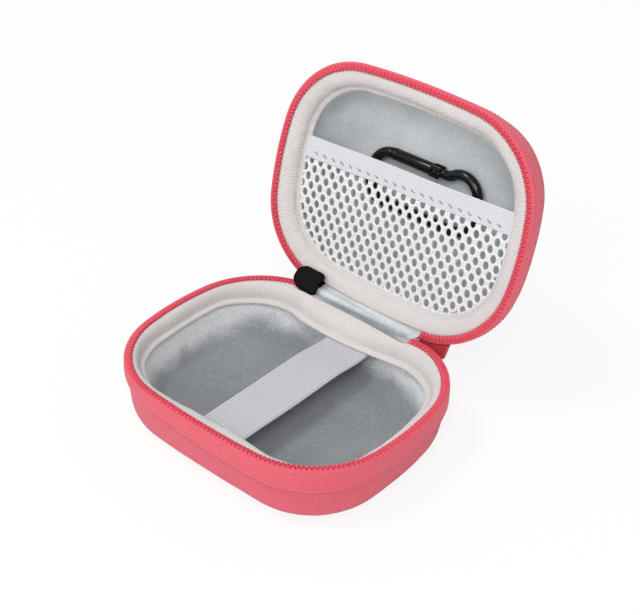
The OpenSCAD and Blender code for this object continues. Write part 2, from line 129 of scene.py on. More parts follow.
# %% Base and lid in their places
def opened(p, angle=OPEN):
    """Turns points of the closed lid about the hinge line."""
    p = np.array(p, float)
    dy, dz = p[..., 1] - HINGE[0], p[..., 2] - HINGE[1]
    c, s = math.cos(angle), math.sin(angle)
    p[..., 1] = HINGE[0] + dy * c + dz * s
    p[..., 2] = HINGE[1] - dy * s + dz * c
    return p


def place(p, half):
    """Puts points of a half, with its rim at z = 0, where that half stands."""
    p = np.array(p, float)
    if half == "base":
        p[..., 2] += BASE_H
        return p
    p[..., 2] = BASE_H - p[..., 2]
    return opened(p)


print("the lid's front edge stands at", place([0, -HALF_D, 0], "lid").round(1))

# %% [markdown]
# ## Mesh helpers
# Cloth, tape and rods are all blocks of points: rows that follow one another, joined by
# four-sided faces. Modelling each by hand would do for one piece, but here almost thirty
# pieces share the same few helpers. Each gets a UV map in millimetres, so that its weave
# keeps its real size.


# %% Points and meshes
def xyz(*parts):
    """Arrays of coordinates, or single numbers, put together as points."""
    return np.stack(np.broadcast_arrays(*parts), -1)


def run_length(line):
    """How far along a line each of its points lies."""
    d = np.linalg.norm(np.diff(line, axis=-2), axis=-1)
    return np.concatenate([np.zeros(d.shape[:-1] + (1,)), np.cumsum(d, -1)], -1)


def new_object(name, verts, faces, uvs=None, edges=()):
    mesh = bpy.data.meshes.new(name)
    mesh.from_pydata([tuple(v) for v in np.asarray(verts) * MM], edges, faces)
    if uvs is not None:
        layer = mesh.uv_layers.new(name="UVMap")
        layer.data.foreach_set("uv", np.asarray(uvs, np.float32).ravel())
    for p in mesh.polygons:
        p.use_smooth = True
    mesh.validate()
    obj = bpy.data.objects.new(name, mesh)
    bpy.context.scene.collection.objects.link(obj)
    return obj


def points_of(obj):
    """The object's points in millimetres."""
    co = np.zeros(len(obj.data.vertices) * 3)
    obj.data.vertices.foreach_get("co", co)
    return co.reshape(-1, 3) / MM


def store(obj, name, values, kind="FLOAT", field="value"):
    """Keeps a value for each point of the mesh, for a material or a tree to read."""
    attr = obj.data.attributes.new(name, kind, "POINT")
    attr.data.foreach_set(field, np.asarray(values, np.float32).ravel())


def noise(p, scale, seed=0):
    """Smooth noise from a few sine waves, the same on every run."""
    rng = np.random.default_rng(seed)
    out = 0
    for _ in range(9):
        k = rng.normal(size=3) / scale
        out = out + np.sin(p @ k + rng.uniform(0, 2 * PI))
    return out / 4.0


# %% Grids of points as faces
def grid_data(points, uv, wrap_u=False, wrap_v=False, flip=False, start=0):
    """Faces and UVs of rows of points. The UVs may have one more row and column."""
    n, m = points.shape[:2]
    nu, nv = (n if wrap_u else n - 1), (m if wrap_v else m - 1)
    i, j = np.meshgrid(np.arange(nu), np.arange(nv), indexing="ij")
    i1, j1 = (i + 1) % n, (j + 1) % m
    quads = np.stack([i * m + j, i1 * m + j, i1 * m + j1, i * m + j1], -1).reshape(-1, 4)
    ext = uv
    if uv.shape[0] == n:
        ext = np.zeros((n + 1, m + 1, 2))
        ext[:n, :m] = uv
        ext[n, :m] = 2 * uv[-1] - uv[-2]
        ext[:, m] = 2 * ext[:, m - 1] - ext[:, m - 2]
    corner = np.stack([ext[i, j], ext[i + 1, j], ext[i + 1, j + 1], ext[i, j + 1]], 2)
    corner = corner.reshape(-1, 4, 2)
    if flip:
        quads, corner = quads[:, ::-1], corner[:, ::-1]
    return (quads + start).tolist(), corner.reshape(-1, 2)


def join(name, parts, move=np.asarray):
    """One object from grids (points, uv, wrap_u, wrap_v), with its open tubes capped."""
    verts, faces, uvs, at = [], [], [], 0
    for pts, uv, wrap_u, wrap_v in parts:
        f, c = grid_data(pts, uv, wrap_u=wrap_u, wrap_v=wrap_v, start=at)
        n, m = pts.shape[:2]
        faces += f
        uvs.append(c)
        if wrap_v and not wrap_u:
            for row_at, order in ((0, 1), (n - 1, -1)):
                faces.append([at + row_at * m + k for k in range(m)][::order])
                uvs.append(np.tile(uv[row_at, 0], (m, 1)))
        verts.append(move(pts).reshape(-1, 3))
        at += n * m
    return new_object(name, np.concatenate(verts), faces, np.concatenate(uvs))


# %% Sweeps and bands
def sweep(name, s, prof, half, closed):
    """Moves a section along the outline; prof is (steps, points, 2): outward and up."""
    p, n = path(s)
    xy = p[:, None] + n[:, None] * prof[..., :1]
    pts = place(np.concatenate([xy, prof[..., 1:]], -1), half)
    uv = xyz(s[:, None], run_length(prof))
    faces, uvs = grid_data(pts, uv, wrap_u=closed, flip=half == "lid")
    return new_object(name, pts.reshape(-1, 3), faces, uvs)


def band(name, lengthwise, across, front, rear):
    """A closed flat band: its front face, then its rear face on the way back."""
    pts = np.concatenate([front, rear[:, ::-1][:, 1:-1]], 1)
    run = np.concatenate([across, across[::-1][1:-1]])
    return join(name, [(pts, xyz(lengthwise[:, None], run), False, True)])


# %% [markdown]
# ## Rods, bars and turned parts
# Wire, thread and small metal parts are tubes, bars and lathe work. A curve object with a
# bevel makes a tube too, but these keep their rings where they are wanted, carry UVs in
# millimetres and close their ends.


# %% Rods, bars and turned parts
def tube(points, radius, sides=12, closed=False):
    """A round tube along a line; the radius may change on the way."""
    p = np.asarray(points, float)
    t = np.roll(p, -1, 0) - np.roll(p, 1, 0) if closed else np.gradient(p, axis=0)
    t /= np.linalg.norm(t, axis=1)[:, None]
    ref = np.array([0, 0, 1.0]) if abs(t[0][2]) < 0.9 else np.array([1.0, 0, 0])
    frames = []
    a = ref - t[0] * ref.dot(t[0])
    for k in range(len(p)):
        a = a - t[k] * a.dot(t[k])
        a /= np.linalg.norm(a)
        frames.append((a, np.cross(t[k], a)))
    r = np.broadcast_to(np.asarray(radius, float), (len(p),))
    ang = np.linspace(0, 2 * PI, sides, endpoint=False)
    ring = np.stack([np.outer(r, np.cos(ang)), np.outer(r, np.sin(ang))], -1)
    f = np.array(frames)
    pts = p[:, None] + ring[..., :1] * f[:, None, 0] + ring[..., 1:] * f[:, None, 1]
    return pts, xyz(run_length(p)[:, None], ang * r.mean()), closed, True


def block(x0, x1, y0, y1, z0, z1, n=2):
    """A flat bar as a closed tube of four sides."""
    x = np.linspace(x0, x1, n)
    ring = np.array([(y0, z0), (y1, z0), (y1, z1), (y0, z1)])
    return xyz(x[:, None], ring[:, 0], ring[:, 1]), xyz(x[:, None], np.arange(4)), False, True


def lathe(profile, sides=32, axis="x", at=(0, 0, 0)):
    """(along, radius) points turned about a line along x or z."""
    line, r = np.array(profile, float).T[:, :, None]
    a = np.linspace(0, 2 * PI, sides, endpoint=False)
    turned = (line, r * np.cos(a), r * np.sin(a))
    pts = xyz(*turned) if axis == "x" else xyz(*turned[1:], line)
    return pts + np.array(at), xyz(line, a), False, True


def left_of(line):
    """The unit direction to the left of a flat line, at each of its points."""
    d = np.gradient(line, axis=0)
    d /= np.linalg.norm(d, axis=1)[:, None]
    return np.stack([-d[:, 1], d[:, 0]], 1)


# %% [markdown]
# ## Modifiers made real
# A modifier or a tree is handy while a piece is made. The finished piece keeps only the mesh
# that comes out, because that is what other programs can read.


# %% Modifiers made real
def apply_modifiers(obj):
    """Keeps what the modifiers make as a plain mesh, and removes them."""
    deps = bpy.context.evaluated_depsgraph_get()
    deps.update()
    mesh = bpy.data.meshes.new_from_object(obj.evaluated_get(deps), depsgraph=deps)
    obj.modifiers.clear()
    obj.data = mesh
    return obj


def bevelled(obj, width, segments, angle):
    """Rounds the edges that are sharper than the angle, in degrees."""
    m = obj.modifiers.new("Bevel", "BEVEL")
    m.width, m.segments, m.angle_limit = width * MM, segments, math.radians(angle)
    m.limit_method = "ANGLE"
    return apply_modifiers(obj)


def run_tree(obj, tree, **inputs):
    """Runs a Geometry Nodes tree on an object and keeps the mesh that comes out."""
    mod = obj.modifiers.new("Tree", "NODES")
    mod.node_group = tree
    for item in tree.interface.items_tree:
        if item.in_out == "INPUT" and item.name in inputs:
            mod[item.identifier] = inputs[item.name]
    return apply_modifiers(obj)


# %% [markdown]
# ## Node helpers
# A material or a Geometry Nodes tree is a set of nodes joined by links. `add` puts in one
# node, with its settings and what goes into it. `group` starts a tree of its own with named
# inputs and outputs, so that an effect is built once and used in many materials.


# %% Node helpers
def add(tree, kind, inputs=(), **settings):
    """A new node. Its inputs are plain values, or outputs of other nodes."""
    n = tree.nodes.new(kind)
    for label, value in settings.items():
        setattr(n, label, value)
    for label, value in dict(inputs).items():
        if isinstance(value, bpy.types.NodeSocket):
            tree.links.new(value, n.inputs[label])
        else:
            n.inputs[label].default_value = value
    return n


def calc(tree, op, *values, clamp=False):
    """One sum of numbers, such as MULTIPLY or SINE."""
    return add(tree, "ShaderNodeMath", enumerate(values), operation=op, use_clamp=clamp).outputs[0]


def group(name, inputs, outputs, kind="ShaderNodeTree"):
    """A tree with named sockets, given as (name, type) or (name, type, value)."""
    g = bpy.data.node_groups.new(name, kind)
    for way, sockets in (("INPUT", inputs), ("OUTPUT", outputs)):
        for label, sort, *value in sockets:
            sock = g.interface.new_socket(name=label, in_out=way, socket_type="NodeSocket" + sort)
            if value:
                sock.default_value = value[0]
    return g, g.nodes.new("NodeGroupInput").outputs, g.nodes.new("NodeGroupOutput").inputs


# %% [markdown]
# ## Shared effects
# Woven cloth is a pattern of small ribs. An image of cloth would blur close up and repeat,
# so `Woven ribs` works the height of the ribs out from the UV map. `Cloudy nap` gives soft
# patches, as velvet has where a hand brushed it, and the fine speckle of yarn.


# %% Shared effects
def ribs_group():
    """Height of ribs that run along the UV map's U, turned by an angle."""
    g, i, o = group("Woven ribs", [("UV", "Vector"), ("Pitch", "Float", 1.0),
                                   ("Turn", "Float", 0.0), ("Cross pitch", "Float", 0.5),
                                   ("Cross share", "Float", 0.3)], [("Height", "Float")])
    turned = add(g, "ShaderNodeVectorRotate", {"Vector": i["UV"], "Angle": i["Turn"]},
                 rotation_type="Z_AXIS").outputs[0]
    x, y, _ = add(g, "ShaderNodeSeparateXYZ", {0: turned}).outputs

    def wave(coord, pitch, shift):
        t = calc(g, "ADD", calc(g, "DIVIDE", coord, pitch), shift)
        t = calc(g, "SINE", calc(g, "MULTIPLY", t, 2 * PI))
        return calc(g, "MULTIPLY", calc(g, "ADD", t, 1), 0.5)
    main = wave(y, i["Pitch"], 0)
    every_other = calc(g, "MULTIPLY", calc(g, "FLOOR", calc(g, "DIVIDE", y, i["Pitch"])), 0.5)
    cross = wave(x, i["Cross pitch"], every_other)
    keep = calc(g, "SUBTRACT", 1, i["Cross share"])
    h = calc(g, "ADD", calc(g, "MULTIPLY", main, keep),
             calc(g, "MULTIPLY", cross, i["Cross share"]))
    g.links.new(h, o["Height"])
    return g


def nap_group():
    """Soft patches and short streaks of brushed velvet."""
    g, i, o = group("Cloudy nap", [("Vector", "Vector"), ("Cloud", "Float", 90.0),
                                   ("Streak", "Float", 900.0)],
                    [("Cloud", "Float"), ("Pile", "Float")])
    for scale, out, more in (("Cloud", "Cloud", {"Detail": 5, "Roughness": 0.62,
                                                 "Distortion": 0.6}),
                             ("Streak", "Pile", {"Detail": 3})):
        n = add(g, "ShaderNodeTexNoise", {"Vector": i["Vector"], "Scale": i[scale], **more})
        g.links.new(n.outputs["Fac"], o[out])
    return g


RIBS, NAP = ribs_group(), nap_group()
print("node groups:", RIBS.name, "and", NAP.name)


# %% Parts of a material
def lin(r, g, b):
    """Red, green and blue of 0 to 255, as seen on a screen, turned into linear light."""
    return tuple((v / 255 / 12.92) if v <= 10 else ((v / 255 + 0.055) / 1.055) ** 2.4
                 for v in (r, g, b)) + (1,)


def material(name, color, rough=0.8, spec=0.3, metal=0.0, sheen=0.0, coat=0.0):
    """A material with what is the same all over it, set on the shader's own sockets."""
    m = bpy.data.materials.new(name)
    m.use_nodes = True
    m.diffuse_color = color
    shader = m.node_tree.nodes["Principled BSDF"]
    for label, value in {"Base Color": color, "Roughness": rough, "Specular IOR Level": spec,
                         "Metallic": metal, "Sheen Weight": sheen, "Sheen Roughness": 0.5,
                         "Coat Weight": coat}.items():
        shader.inputs[label].default_value = value
    return m


def feed(m, label, socket):
    """Leads a node's output into a socket of the material's shader."""
    m.node_tree.links.new(socket, m.node_tree.nodes["Principled BSDF"].inputs[label])


def mixed(tree, first, second, factor):
    """A colour that turns from the first to the second as the factor goes from 0 to 1."""
    return add(tree, "ShaderNodeMix", {0: factor, 6: first, 7: second},
               data_type="RGBA").outputs[2]


def bump(m, height, distance, strength=1.0, **under):
    """Bumps of this depth in millimetres, laid over another bump's Normal."""
    normal = add(m.node_tree, "ShaderNodeBump", {"Distance": distance * MM, "Height": height,
                                                 "Strength": strength, **under}).outputs[0]
    feed(m, "Normal", normal)
    return normal


def use(m, tree_group, coords, **values):
    """A shared effect in a material, on the UV map or on Object coordinates."""
    at = add(m.node_tree, "ShaderNodeTexCoord").outputs[coords]
    inputs = {label.replace("_", " "): value for label, value in values.items()}
    return add(m.node_tree, "ShaderNodeGroup", {0: at, **inputs}, node_tree=tree_group).outputs


# %% [markdown]
# ## Woven cloth
# The covers, the tape, the elastics and the ribbon are all woven, only finer or coarser. One
# recipe makes them: ribs that stand out, painted shade that darkens the grooves between them and
# lightens the rib tops, and a speckle of yarn.


# %% Woven cloth
def ribbed(name, dark, light, pitch, turn=0.0, cross=0.5, share=0.3, depth=0.12, rough=0.85,
           sheen=0.15, spec=0.25, speckle=0.25):
    """Cloth with woven ribs, fine yarn speckle, and painted shade that darkens the grooves."""
    m = material(name, lin(*light), rough=rough, sheen=sheen, spec=spec)
    t = m.node_tree
    ribs = use(m, RIBS, "UV", Pitch=pitch, Turn=turn, Cross_pitch=cross, Cross_share=share)
    nap = use(m, NAP, "Object", Cloud=60.0, Streak=2600.0)
    # Painted shade: the colour runs from dark in the grooves to light on the rib tops, with the
    # yarn speckle mixed in.
    tone = calc(t, "ADD", calc(t, "MULTIPLY", ribs["Height"], 1 - speckle),
                calc(t, "MULTIPLY", nap["Pile"], speckle), clamp=True)
    feed(m, "Base Color", mixed(t, lin(*dark), lin(*light), tone))
    bump(m, ribs["Height"], depth, Normal=bump(m, nap["Pile"], 0.04, 0.5))
    return m


# %% [markdown]
# ## Velvet
# Velvet has no weave to see. It is patchy where a hand brushed it. Its walls are painted paler as
# they rise: painted light that brightens the walls where the rim's overhang shades them. This is
# read from an attribute of the mesh, not from the view, so that it stays in place.


# %% Velvet
def velvet(name, dark, light, top, cloud, patches, reach):
    """Short nap: soft patches where it was brushed, and painted light that mixes in the top colour
    as the walls rise.
    """
    m = material(name, lin(*light), rough=0.95, sheen=0.4, spec=0.1)
    t = m.node_tree
    nap = use(m, NAP, "Object", Cloud=cloud, Streak=1500.0)
    patch = add(t, "ShaderNodeMapRange", {"Value": nap["Cloud"], "From Min": 0.36,
                                          "From Max": 0.66}).outputs[0]
    pile = calc(t, "SUBTRACT", nap["Pile"], 0.5)
    fine = calc(t, "ADD", calc(t, "MULTIPLY", pile, 1.2), 0.22)
    tone = calc(t, "ADD", calc(t, "MULTIPLY", patch, patches), fine, clamp=True)
    # Painted light: an attribute of the mesh grows up the walls and away from the hinge's valley,
    # and mixes the pale top colour in.
    painted_light = add(t, "ShaderNodeAttribute", attribute_name="painted_light").outputs["Fac"]
    cloudy = calc(t, "ADD", painted_light, calc(t, "MULTIPLY", calc(t, "SUBTRACT", patch, 0.5), 0.16))
    wall = add(t, "ShaderNodeMapRange", {"Value": cloudy, "From Max": reach},
               interpolation_type="SMOOTHSTEP").outputs[0]
    off_floor = calc(t, "MULTIPLY", painted_light, 12.0, clamp=True)
    brushed = calc(t, "ADD", calc(t, "MULTIPLY", pile, 0.9), 0.88, clamp=True)
    # Painted light: how much of the pale top colour the walls get.
    painted_light_mix = calc(t, "MULTIPLY", calc(t, "MULTIPLY", wall, off_floor), brushed)
    floor_tone = mixed(t, lin(*dark), lin(*light), tone)
    feed(m, "Base Color", mixed(t, floor_tone, lin(*top), painted_light_mix))
    bump(m, nap["Pile"], 0.14, 0.6, Normal=bump(m, nap["Cloud"], 0.8, 0.2))
    return m


# %% [markdown]
# ## Painted metal
# The slider and the snap hook are cast and painted black. Even good paint is a little wavy,
# so the roughness changes in soft patches and a very fine bump breaks up the shine.


# %% Painted metal
def gloss(name, color, rough, coat, metal=0.0):
    """Painted or plated hardware, with a faint unevenness in its shine."""
    m = material(name, lin(*color), rough=rough, spec=0.3 if coat else 0.08, metal=metal,
                 coat=coat)
    nap = use(m, NAP, "Object", Cloud=260.0, Streak=2200.0)
    uneven = calc(m.node_tree, "MULTIPLY", nap["Cloud"], 0.25)
    feed(m, "Roughness", calc(m.node_tree, "ADD", uneven, rough - 0.12))
    bump(m, nap["Pile"], 0.02, 0.4)
    return m


# %% [markdown]
# ## The materials of the case
# Each finish is one call with its darkest and lightest colour, as they look in plain light,
# and the size of its weave in millimetres.

# %% Woven materials
COVER = ribbed("Cover twill", (200, 76, 94), (236, 112, 128), pitch=0.75, turn=0.06,
               cross=0.4, share=0.22, depth=0.14)
TAPE = ribbed("Zip tape", (206, 76, 92), (234, 106, 120), pitch=0.42, share=0.45,
              depth=0.05, rough=0.7, speckle=0.35)
COIL = ribbed("Coil nylon", (206, 52, 74), (238, 90, 110), pitch=0.5, share=0.1,
              depth=0.01, rough=0.34, sheen=0.0, spec=0.5, speckle=0.6)
THREAD = ribbed("Coral thread", (214, 88, 108), (244, 140, 154), pitch=0.3, turn=0.7,
                depth=0.03, speckle=0.4)
BINDING = ribbed("Binding plush", (192, 187, 185), (242, 236, 234), pitch=0.8, turn=PI / 2,
                 cross=0.55, share=0.4, depth=0.2, rough=0.95, sheen=0.4, spec=0.1,
                 speckle=0.5)
STRAP = ribbed("Strap elastic", (164, 164, 170), (214, 214, 218), pitch=1.02, share=0.2,
               depth=0.05, rough=0.75)
HEM = ribbed("Hem elastic", (190, 191, 195), (228, 228, 232), pitch=0.62, cross=0.45,
             share=0.25, depth=0.08, rough=0.8)
# Painted shade: the hem's stitches are coloured dark grey to stand for the shadows beside them.
HEM_STITCH_SHADE = ribbed("Hem stitch shade", (118, 119, 124), (164, 165, 170), pitch=0.3, turn=0.7,
                    depth=0.03, speckle=0.4)
NET = ribbed("Net yarn", (196, 197, 200), (250, 250, 252), pitch=0.36, turn=0.6,
             cross=0.3, share=0.5, rough=0.8, sheen=0.3, speckle=0.5)
RIBBON = ribbed("Satin ribbon", (156, 12, 32), (208, 28, 50), pitch=0.28, share=0.15,
                depth=0.02, rough=0.35, sheen=0.3, spec=0.55)
HINGE_CLOTH = ribbed("Hinge cloth", (186, 48, 70), (222, 84, 104), pitch=0.5, share=0.4,
                     depth=0.06, speckle=0.3)

# %% Velvets and metals
# Painted light and shade: both linings are one grey velvet, painted paler in the lid, whose open
# face catches the light, and darker in the base. The top colours paint the walls paler, and the
# hinge's dark colours paint the shade in its valley.
BASE_VELVET = velvet("Base velvet", (118, 122, 126), (156, 160, 164), (242, 243, 245),
                     cloud=60.0, patches=0.25, reach=0.55)
LID_VELVET = velvet("Lid velvet", (188, 193, 195), (220, 224, 226), (240, 243, 244),
                    cloud=70.0, patches=0.35, reach=0.8)
HINGE_VELVET = velvet("Hinge velvet", (116, 121, 125), (150, 155, 158), (218, 222, 224),
                      cloud=110.0, patches=0.4, reach=1.0)
BLACK = gloss("Slider black", (11, 11, 12), rough=0.58, coat=0.0)
HOOK = gloss("Hook black", (9, 9, 10), rough=0.22, coat=0.25)
RIVET = gloss("Rivet", (60, 60, 64), rough=0.3, coat=0.3, metal=0.6)
STEEL = gloss("Spring steel", (150, 150, 156), rough=0.3, coat=0.0, metal=1.0)
print(len(bpy.data.materials), "materials")


# %% [markdown]
# ## Fit a finished piece to the frame
# Every piece needs the same three things: its material, the body that it moves with, and the plain
# CAD solids that it stands for.


# %% Fit a finished piece to the frame
def fit(obj, mat, body, slot, *nodes):
    """Gives a piece its material, the body that it moves with and the CAD nodes it shows."""
    obj.data.materials.clear()
    obj.data.materials.append(mat)
    if body is not None:
        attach(obj, body)
    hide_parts(*nodes)
    print(obj.name, len(obj.data.polygons), "faces")
    return obj


# %% [markdown]
# ## The two moulded halves
# Each half is one sheet of ribbed cloth outside and one of velvet inside. A half's side wall
# leans in a little and runs through a wide rounded edge into the flat floor. A bevelled box
# would have the right size but not this slow curve, so one section is swept round the
# outline. The UV map of the cover is the flat cloth, laid out before it was pressed into
# shape, so its ribs run straight across the floor and turn down the walls as real ones do.


# %% How a wall leans
N_RING = 360  # steps round a half
LID_OUT = np.array([(0, 0.25), (50, 0.25), (95, 0.2), (118, 0.0), (140, 0.0), (155, 0.1),
                    (171, 0.26), (205, 0.2), (228, 0.3), (242, 0.4), (256, 0.3)])
BASE_LEAN = np.array([(0, 0.3), (110, 0.3), (136, 0.6), (150, 0.4), (165, -0.4), (175, -0.5),
                      (186, 0.0), (200, 0.8), (215, 0.9), (235, 0.5)])


def lid_out(s, z):
    """How much farther out the lid's wall stands at s than its section says."""
    out = knots_at(LID_OUT, s)
    return out.reshape(-1, *[1] * (np.ndim(z) - 1)) * np.clip(-0.9 - z, 0, 4.8)


def base_lean(s, z):
    """How much farther in the foot of the base's wall stands at s, low on the wall."""
    return knots_at(BASE_LEAN, s)[:, None] * np.clip((-9.5 - z) / 5, 0, 1)


def wall_profile(top, bend, centre, radius, floor, turns=16):
    """(outward, height) points from the rim down the wall, round the edge and over the floor."""
    a0 = math.atan2(bend[1] - centre[1], bend[0] - centre[0])
    arc = [(centre[0] + radius * math.cos(a), centre[1] + radius * math.sin(a))
           for a in np.linspace(a0, -PI / 2, turns)]
    wall = [tuple(np.array(top) + (np.array(bend) - top) * t) for t in np.linspace(0, 1, 9)[:-1]]
    flat = [(u, floor) for u in np.linspace(centre[0], -26.0, 8)[1:]]
    return np.array(wall + arc + flat)


# %% Covers and linings
def tray(name, profile, half, soften=0.0, seed=0):
    """A half's cover or lining: the swept wall, and the floor closed towards the middle."""
    s = steps(N_RING)
    p, n = path(s)
    u, z = profile[:, 0], profile[None, :, 1]
    flat_u = profile[-1, 0] + run_length(profile[::-1])[::-1]
    by_the_wall = np.clip(1 + (u + 8) / 12, 0, 1)
    lean = 0.0
    if half == "lid":
        lean = lid_out(s, z) * by_the_wall
    elif not soften:
        lean = -base_lean(s, z) * by_the_wall
    xy = p[:, None] + n[:, None] * (u + lean + np.zeros((len(s), 1)))[..., None]
    pts = xyz(xy[..., 0], xy[..., 1], z)
    uv = p[:, None] + n[:, None] * flat_u[None, :, None]
    inward = np.array([0.75, 0.5, 0.25, 0.02])
    pts = np.concatenate([pts, pts[:, -1:] * xyz(inward, inward, 1)], 1)
    uv = np.concatenate([uv, uv[:, -1:] * inward[:, None]], 1)
    m = pts.shape[1]
    if soften:
        w = np.ones(m)
        w[:4] = [0, 0.2, 0.5, 0.8]
        d = noise(pts * [1, 1, 1.3], 7.5, seed) * 0.6 + noise(pts, 3.6, seed + 1) * 0.25
        pts[..., :2] -= n[:, None] * (d * w * soften)[..., None]
        pts[..., 2] += np.abs(d) * w * soften * 0.4
    ext = np.concatenate([uv, uv[:1]], 0)
    ext = np.concatenate([ext, ext[:, -1:]], 1)
    faces, uvs = grid_data(pts, ext, wrap_u=True, flip=half == "lid")
    faces.append([k * m + m - 1 for k in range(N_RING)][::-1])
    obj = new_object(name, place(pts, half).reshape(-1, 3), faces,
                     np.concatenate([uvs, uv[::-1, -1]]))
    # Painted light: each point keeps its share of the way up the wall, and the velvet uses it to
    # paint its walls paler.
    low, top = profile[:, 1].min(), profile[0, 1]
    up = np.concatenate([(profile[:, 1] - low) / (top - low), np.zeros(4)])
    store(obj, "painted_light", np.tile(up, len(s)))
    return obj


# %% The four sheets
base_out = wall_profile((-0.7, -1.2), (-1.15, -12.6), (-8.4, -12.7), 7.3, -BASE_H)
lid_skin = wall_profile((-0.9, -1.6), (-2.7, -5.2), (-16.9, -5.2), 14.2, -LID_H, turns=22)
base_in = wall_profile((-4.95, -5.1), (-5.5, -9.3), (-11.6, -9.5), 6.1, -15.6, turns=20)
lid_in = wall_profile((-5.1, -3.7), (-5.7, -6.8), (-14.2, -7.0), 8.4, -15.2, turns=18)
fit(tray("base_cover_cloth", base_out, "base"), COVER, "base", "cover",
    "base_cover", "base_core")
fit(tray("lid_cover_cloth", lid_skin, "lid"), COVER, "lid", "cover", "lid_cover", "lid_core")
fit(tray("base_velvet_tray", base_in, "base", soften=0.45, seed=3), BASE_VELVET, "base",
    "base_velvet", "base_lining")
fit(tray("lid_velvet_tray", lid_in, "lid", soften=0.2, seed=11), LID_VELVET, "lid",
    "lid_velvet", "lid_lining")

# %% [markdown]
# ## Zip tape
# The tape is a thin woven band, sewn round the outside of each rim and left out where the
# cloth hinge is. It folds over the rim's edge and carries the coil there. A flat strip bent
# by a curve modifier would twist in the corners, so its section is swept like the walls.

# %% Tape
TAPE_END = 19.0  # x where the tape starts and ends beside the hinge
S0, S1 = s_at_back(-TAPE_END), LENGTH + s_at_back(TAPE_END)


def tape_height(s, half):
    """How far down the wall the tape reaches; the base's is deeper at the front right."""
    if half == "lid":
        return 5.7 + 0.15 * np.sin(s / 23.0)
    x, y = path(s)[0].T
    return 5.9 + 2.1 * x / HALF_W * np.clip(0.15 - y / HALF_D, 0, 1) + 0.12 * np.sin(s / 19.0)


def rim_shift(s, half):
    """Beside the cloth hinge the rim is drawn in or out a little by its seam."""
    if half == "lid":
        return 0.7 * np.exp(-((s % LENGTH - 46) / 16) ** 2)
    x, y = path(s)[0].T
    near = np.exp(-(np.clip(np.abs(x) - 17.0, 0, None) / 8.0) ** 2) * (y > 0)
    return -1.5 * near * (x > 0) - 0.3 * near * (x < 0)


def lid_lean(s, z):
    """How far the lid's tape leans in with the wall, z below the rim."""
    return -0.4 * np.clip(-0.9 - z, 0, None) + lid_out(s, z)


# %% Both tapes
def tape_piece(name, half):
    s = steps(460, S0 + 1.4, S1)
    h = tape_height(s, half)
    top = [(-2.5, -1.2), (-2.4, -0.5), (-1.0, -0.36), (-0.7, -0.03), (-0.15, -0.06),
           (0.12, -0.42), (0.15, -1.4)]
    face = [(0.06, -h * t) for t in (0.3, 0.5, 0.7, 0.85, 0.95)]
    lower_edge = [(0.02, -h), (-0.3, -h - 0.08), (-1.1, -h + 0.2)]
    prof = np.stack([xyz(u, z + 0 * h) for u, z in top + face + lower_edge], 1)
    if half == "lid":
        prof[..., 0] += lid_lean(s, prof[..., 1])
    prof[..., 0] += rim_shift(s, half)[:, None]
    return sweep(name, s, prof, half, closed=False)


fit(tape_piece("lower_tape_band", "base"), TAPE, "base", "tape", "lower_zip_tape")
fit(tape_piece("upper_tape_band", "lid"), TAPE, "lid", "tape", "upper_zip_tape")

# %% [markdown]
# ## A tree that sets pieces in a row
# Each half of the zip has about 170 teeth, and each seam a few more stitches. Copies made in
# a loop would be hard to change later. Here a Geometry Nodes tree walks along a line, puts
# down one piece at each step and turns it to the line's direction and to the direction `up`
# that the line carries. It ends with real geometry and a material.


# %% The row tree
def close_tree(t, instances, material_in, out):
    """The end of both trees: real geometry with its material."""
    real = add(t, "GeometryNodeRealizeInstances", {"Geometry": instances}).outputs[0]
    done = add(t, "GeometryNodeSetMaterial", {"Geometry": real, "Material": material_in})
    t.links.new(done.outputs[0], out)
    return t


def row_tree():
    """Line in, pieces out: named inputs for the pitch, the piece and its material."""
    t, i, o = group("Row along a line",
                    [("Geometry", "Geometry"), ("Pitch", "Float", PITCH * MM),
                     ("Piece", "Object"), ("Material", "Material")],
                    [("Geometry", "Geometry")], "GeometryNodeTree")
    curve = add(t, "GeometryNodeMeshToCurve", {"Mesh": i["Geometry"]}).outputs["Curve"]
    spots = add(t, "GeometryNodeCurveToPoints", {"Curve": curve, "Length": i["Pitch"]},
                mode="LENGTH").outputs
    piece = add(t, "GeometryNodeObjectInfo", {"Object": i["Piece"]}).outputs["Geometry"]
    up = add(t, "GeometryNodeInputNamedAttribute", {"Name": "up"},
             data_type="FLOAT_VECTOR").outputs["Attribute"]
    turned = add(t, "FunctionNodeAlignRotationToVector", {"Vector": up}, axis="Z").outputs[0]
    turned = add(t, "FunctionNodeAlignRotationToVector",
                 {"Rotation": turned, "Vector": spots["Tangent"]},
                 axis="Y", pivot_axis="Z").outputs[0]
    placed = add(t, "GeometryNodeInstanceOnPoints",
                 {"Points": spots["Points"], "Instance": piece, "Rotation": turned})
    return close_tree(t, placed.outputs[0], i["Material"], o["Geometry"])


ROW = row_tree()


# %% Rows along a line
def row(name, line, up, pitch, piece, mat):
    """Runs the row tree on one line and keeps its mesh."""
    obj = new_object(name, line, [], edges=[(k, k + 1) for k in range(len(line) - 1)])
    store(obj, "up", up, "FLOAT_VECTOR", "vector")
    return run_tree(obj, ROW, Pitch=pitch * MM, Piece=piece, Material=mat)


def standing(line, facing, half):
    """A line where its half stands, and the way that the pieces on it face."""
    there = place(line, half)
    return there, place(line + facing, half) - there


def rim_line(s, u, z, half, outward):
    """A line u outwards from the rim at height z; its pieces face outwards or upwards."""
    p, n = path(s)
    line = xyz(*(p + n * np.reshape(u, (-1, 1))).T, z)
    return standing(line, xyz(*n.T, 0) if outward else [0, 0, 1.0], half)


# %% [markdown]
# ## Teeth of the coil
# A coil zip has no separate teeth: one nylon thread is wound into a flat spiral. Seen from
# outside each turn looks like one link, so one link is modelled, flattened and open at the
# back, and the row tree repeats it. The lid's links start half a pitch further on, so that
# both coils mesh when the case is shut.

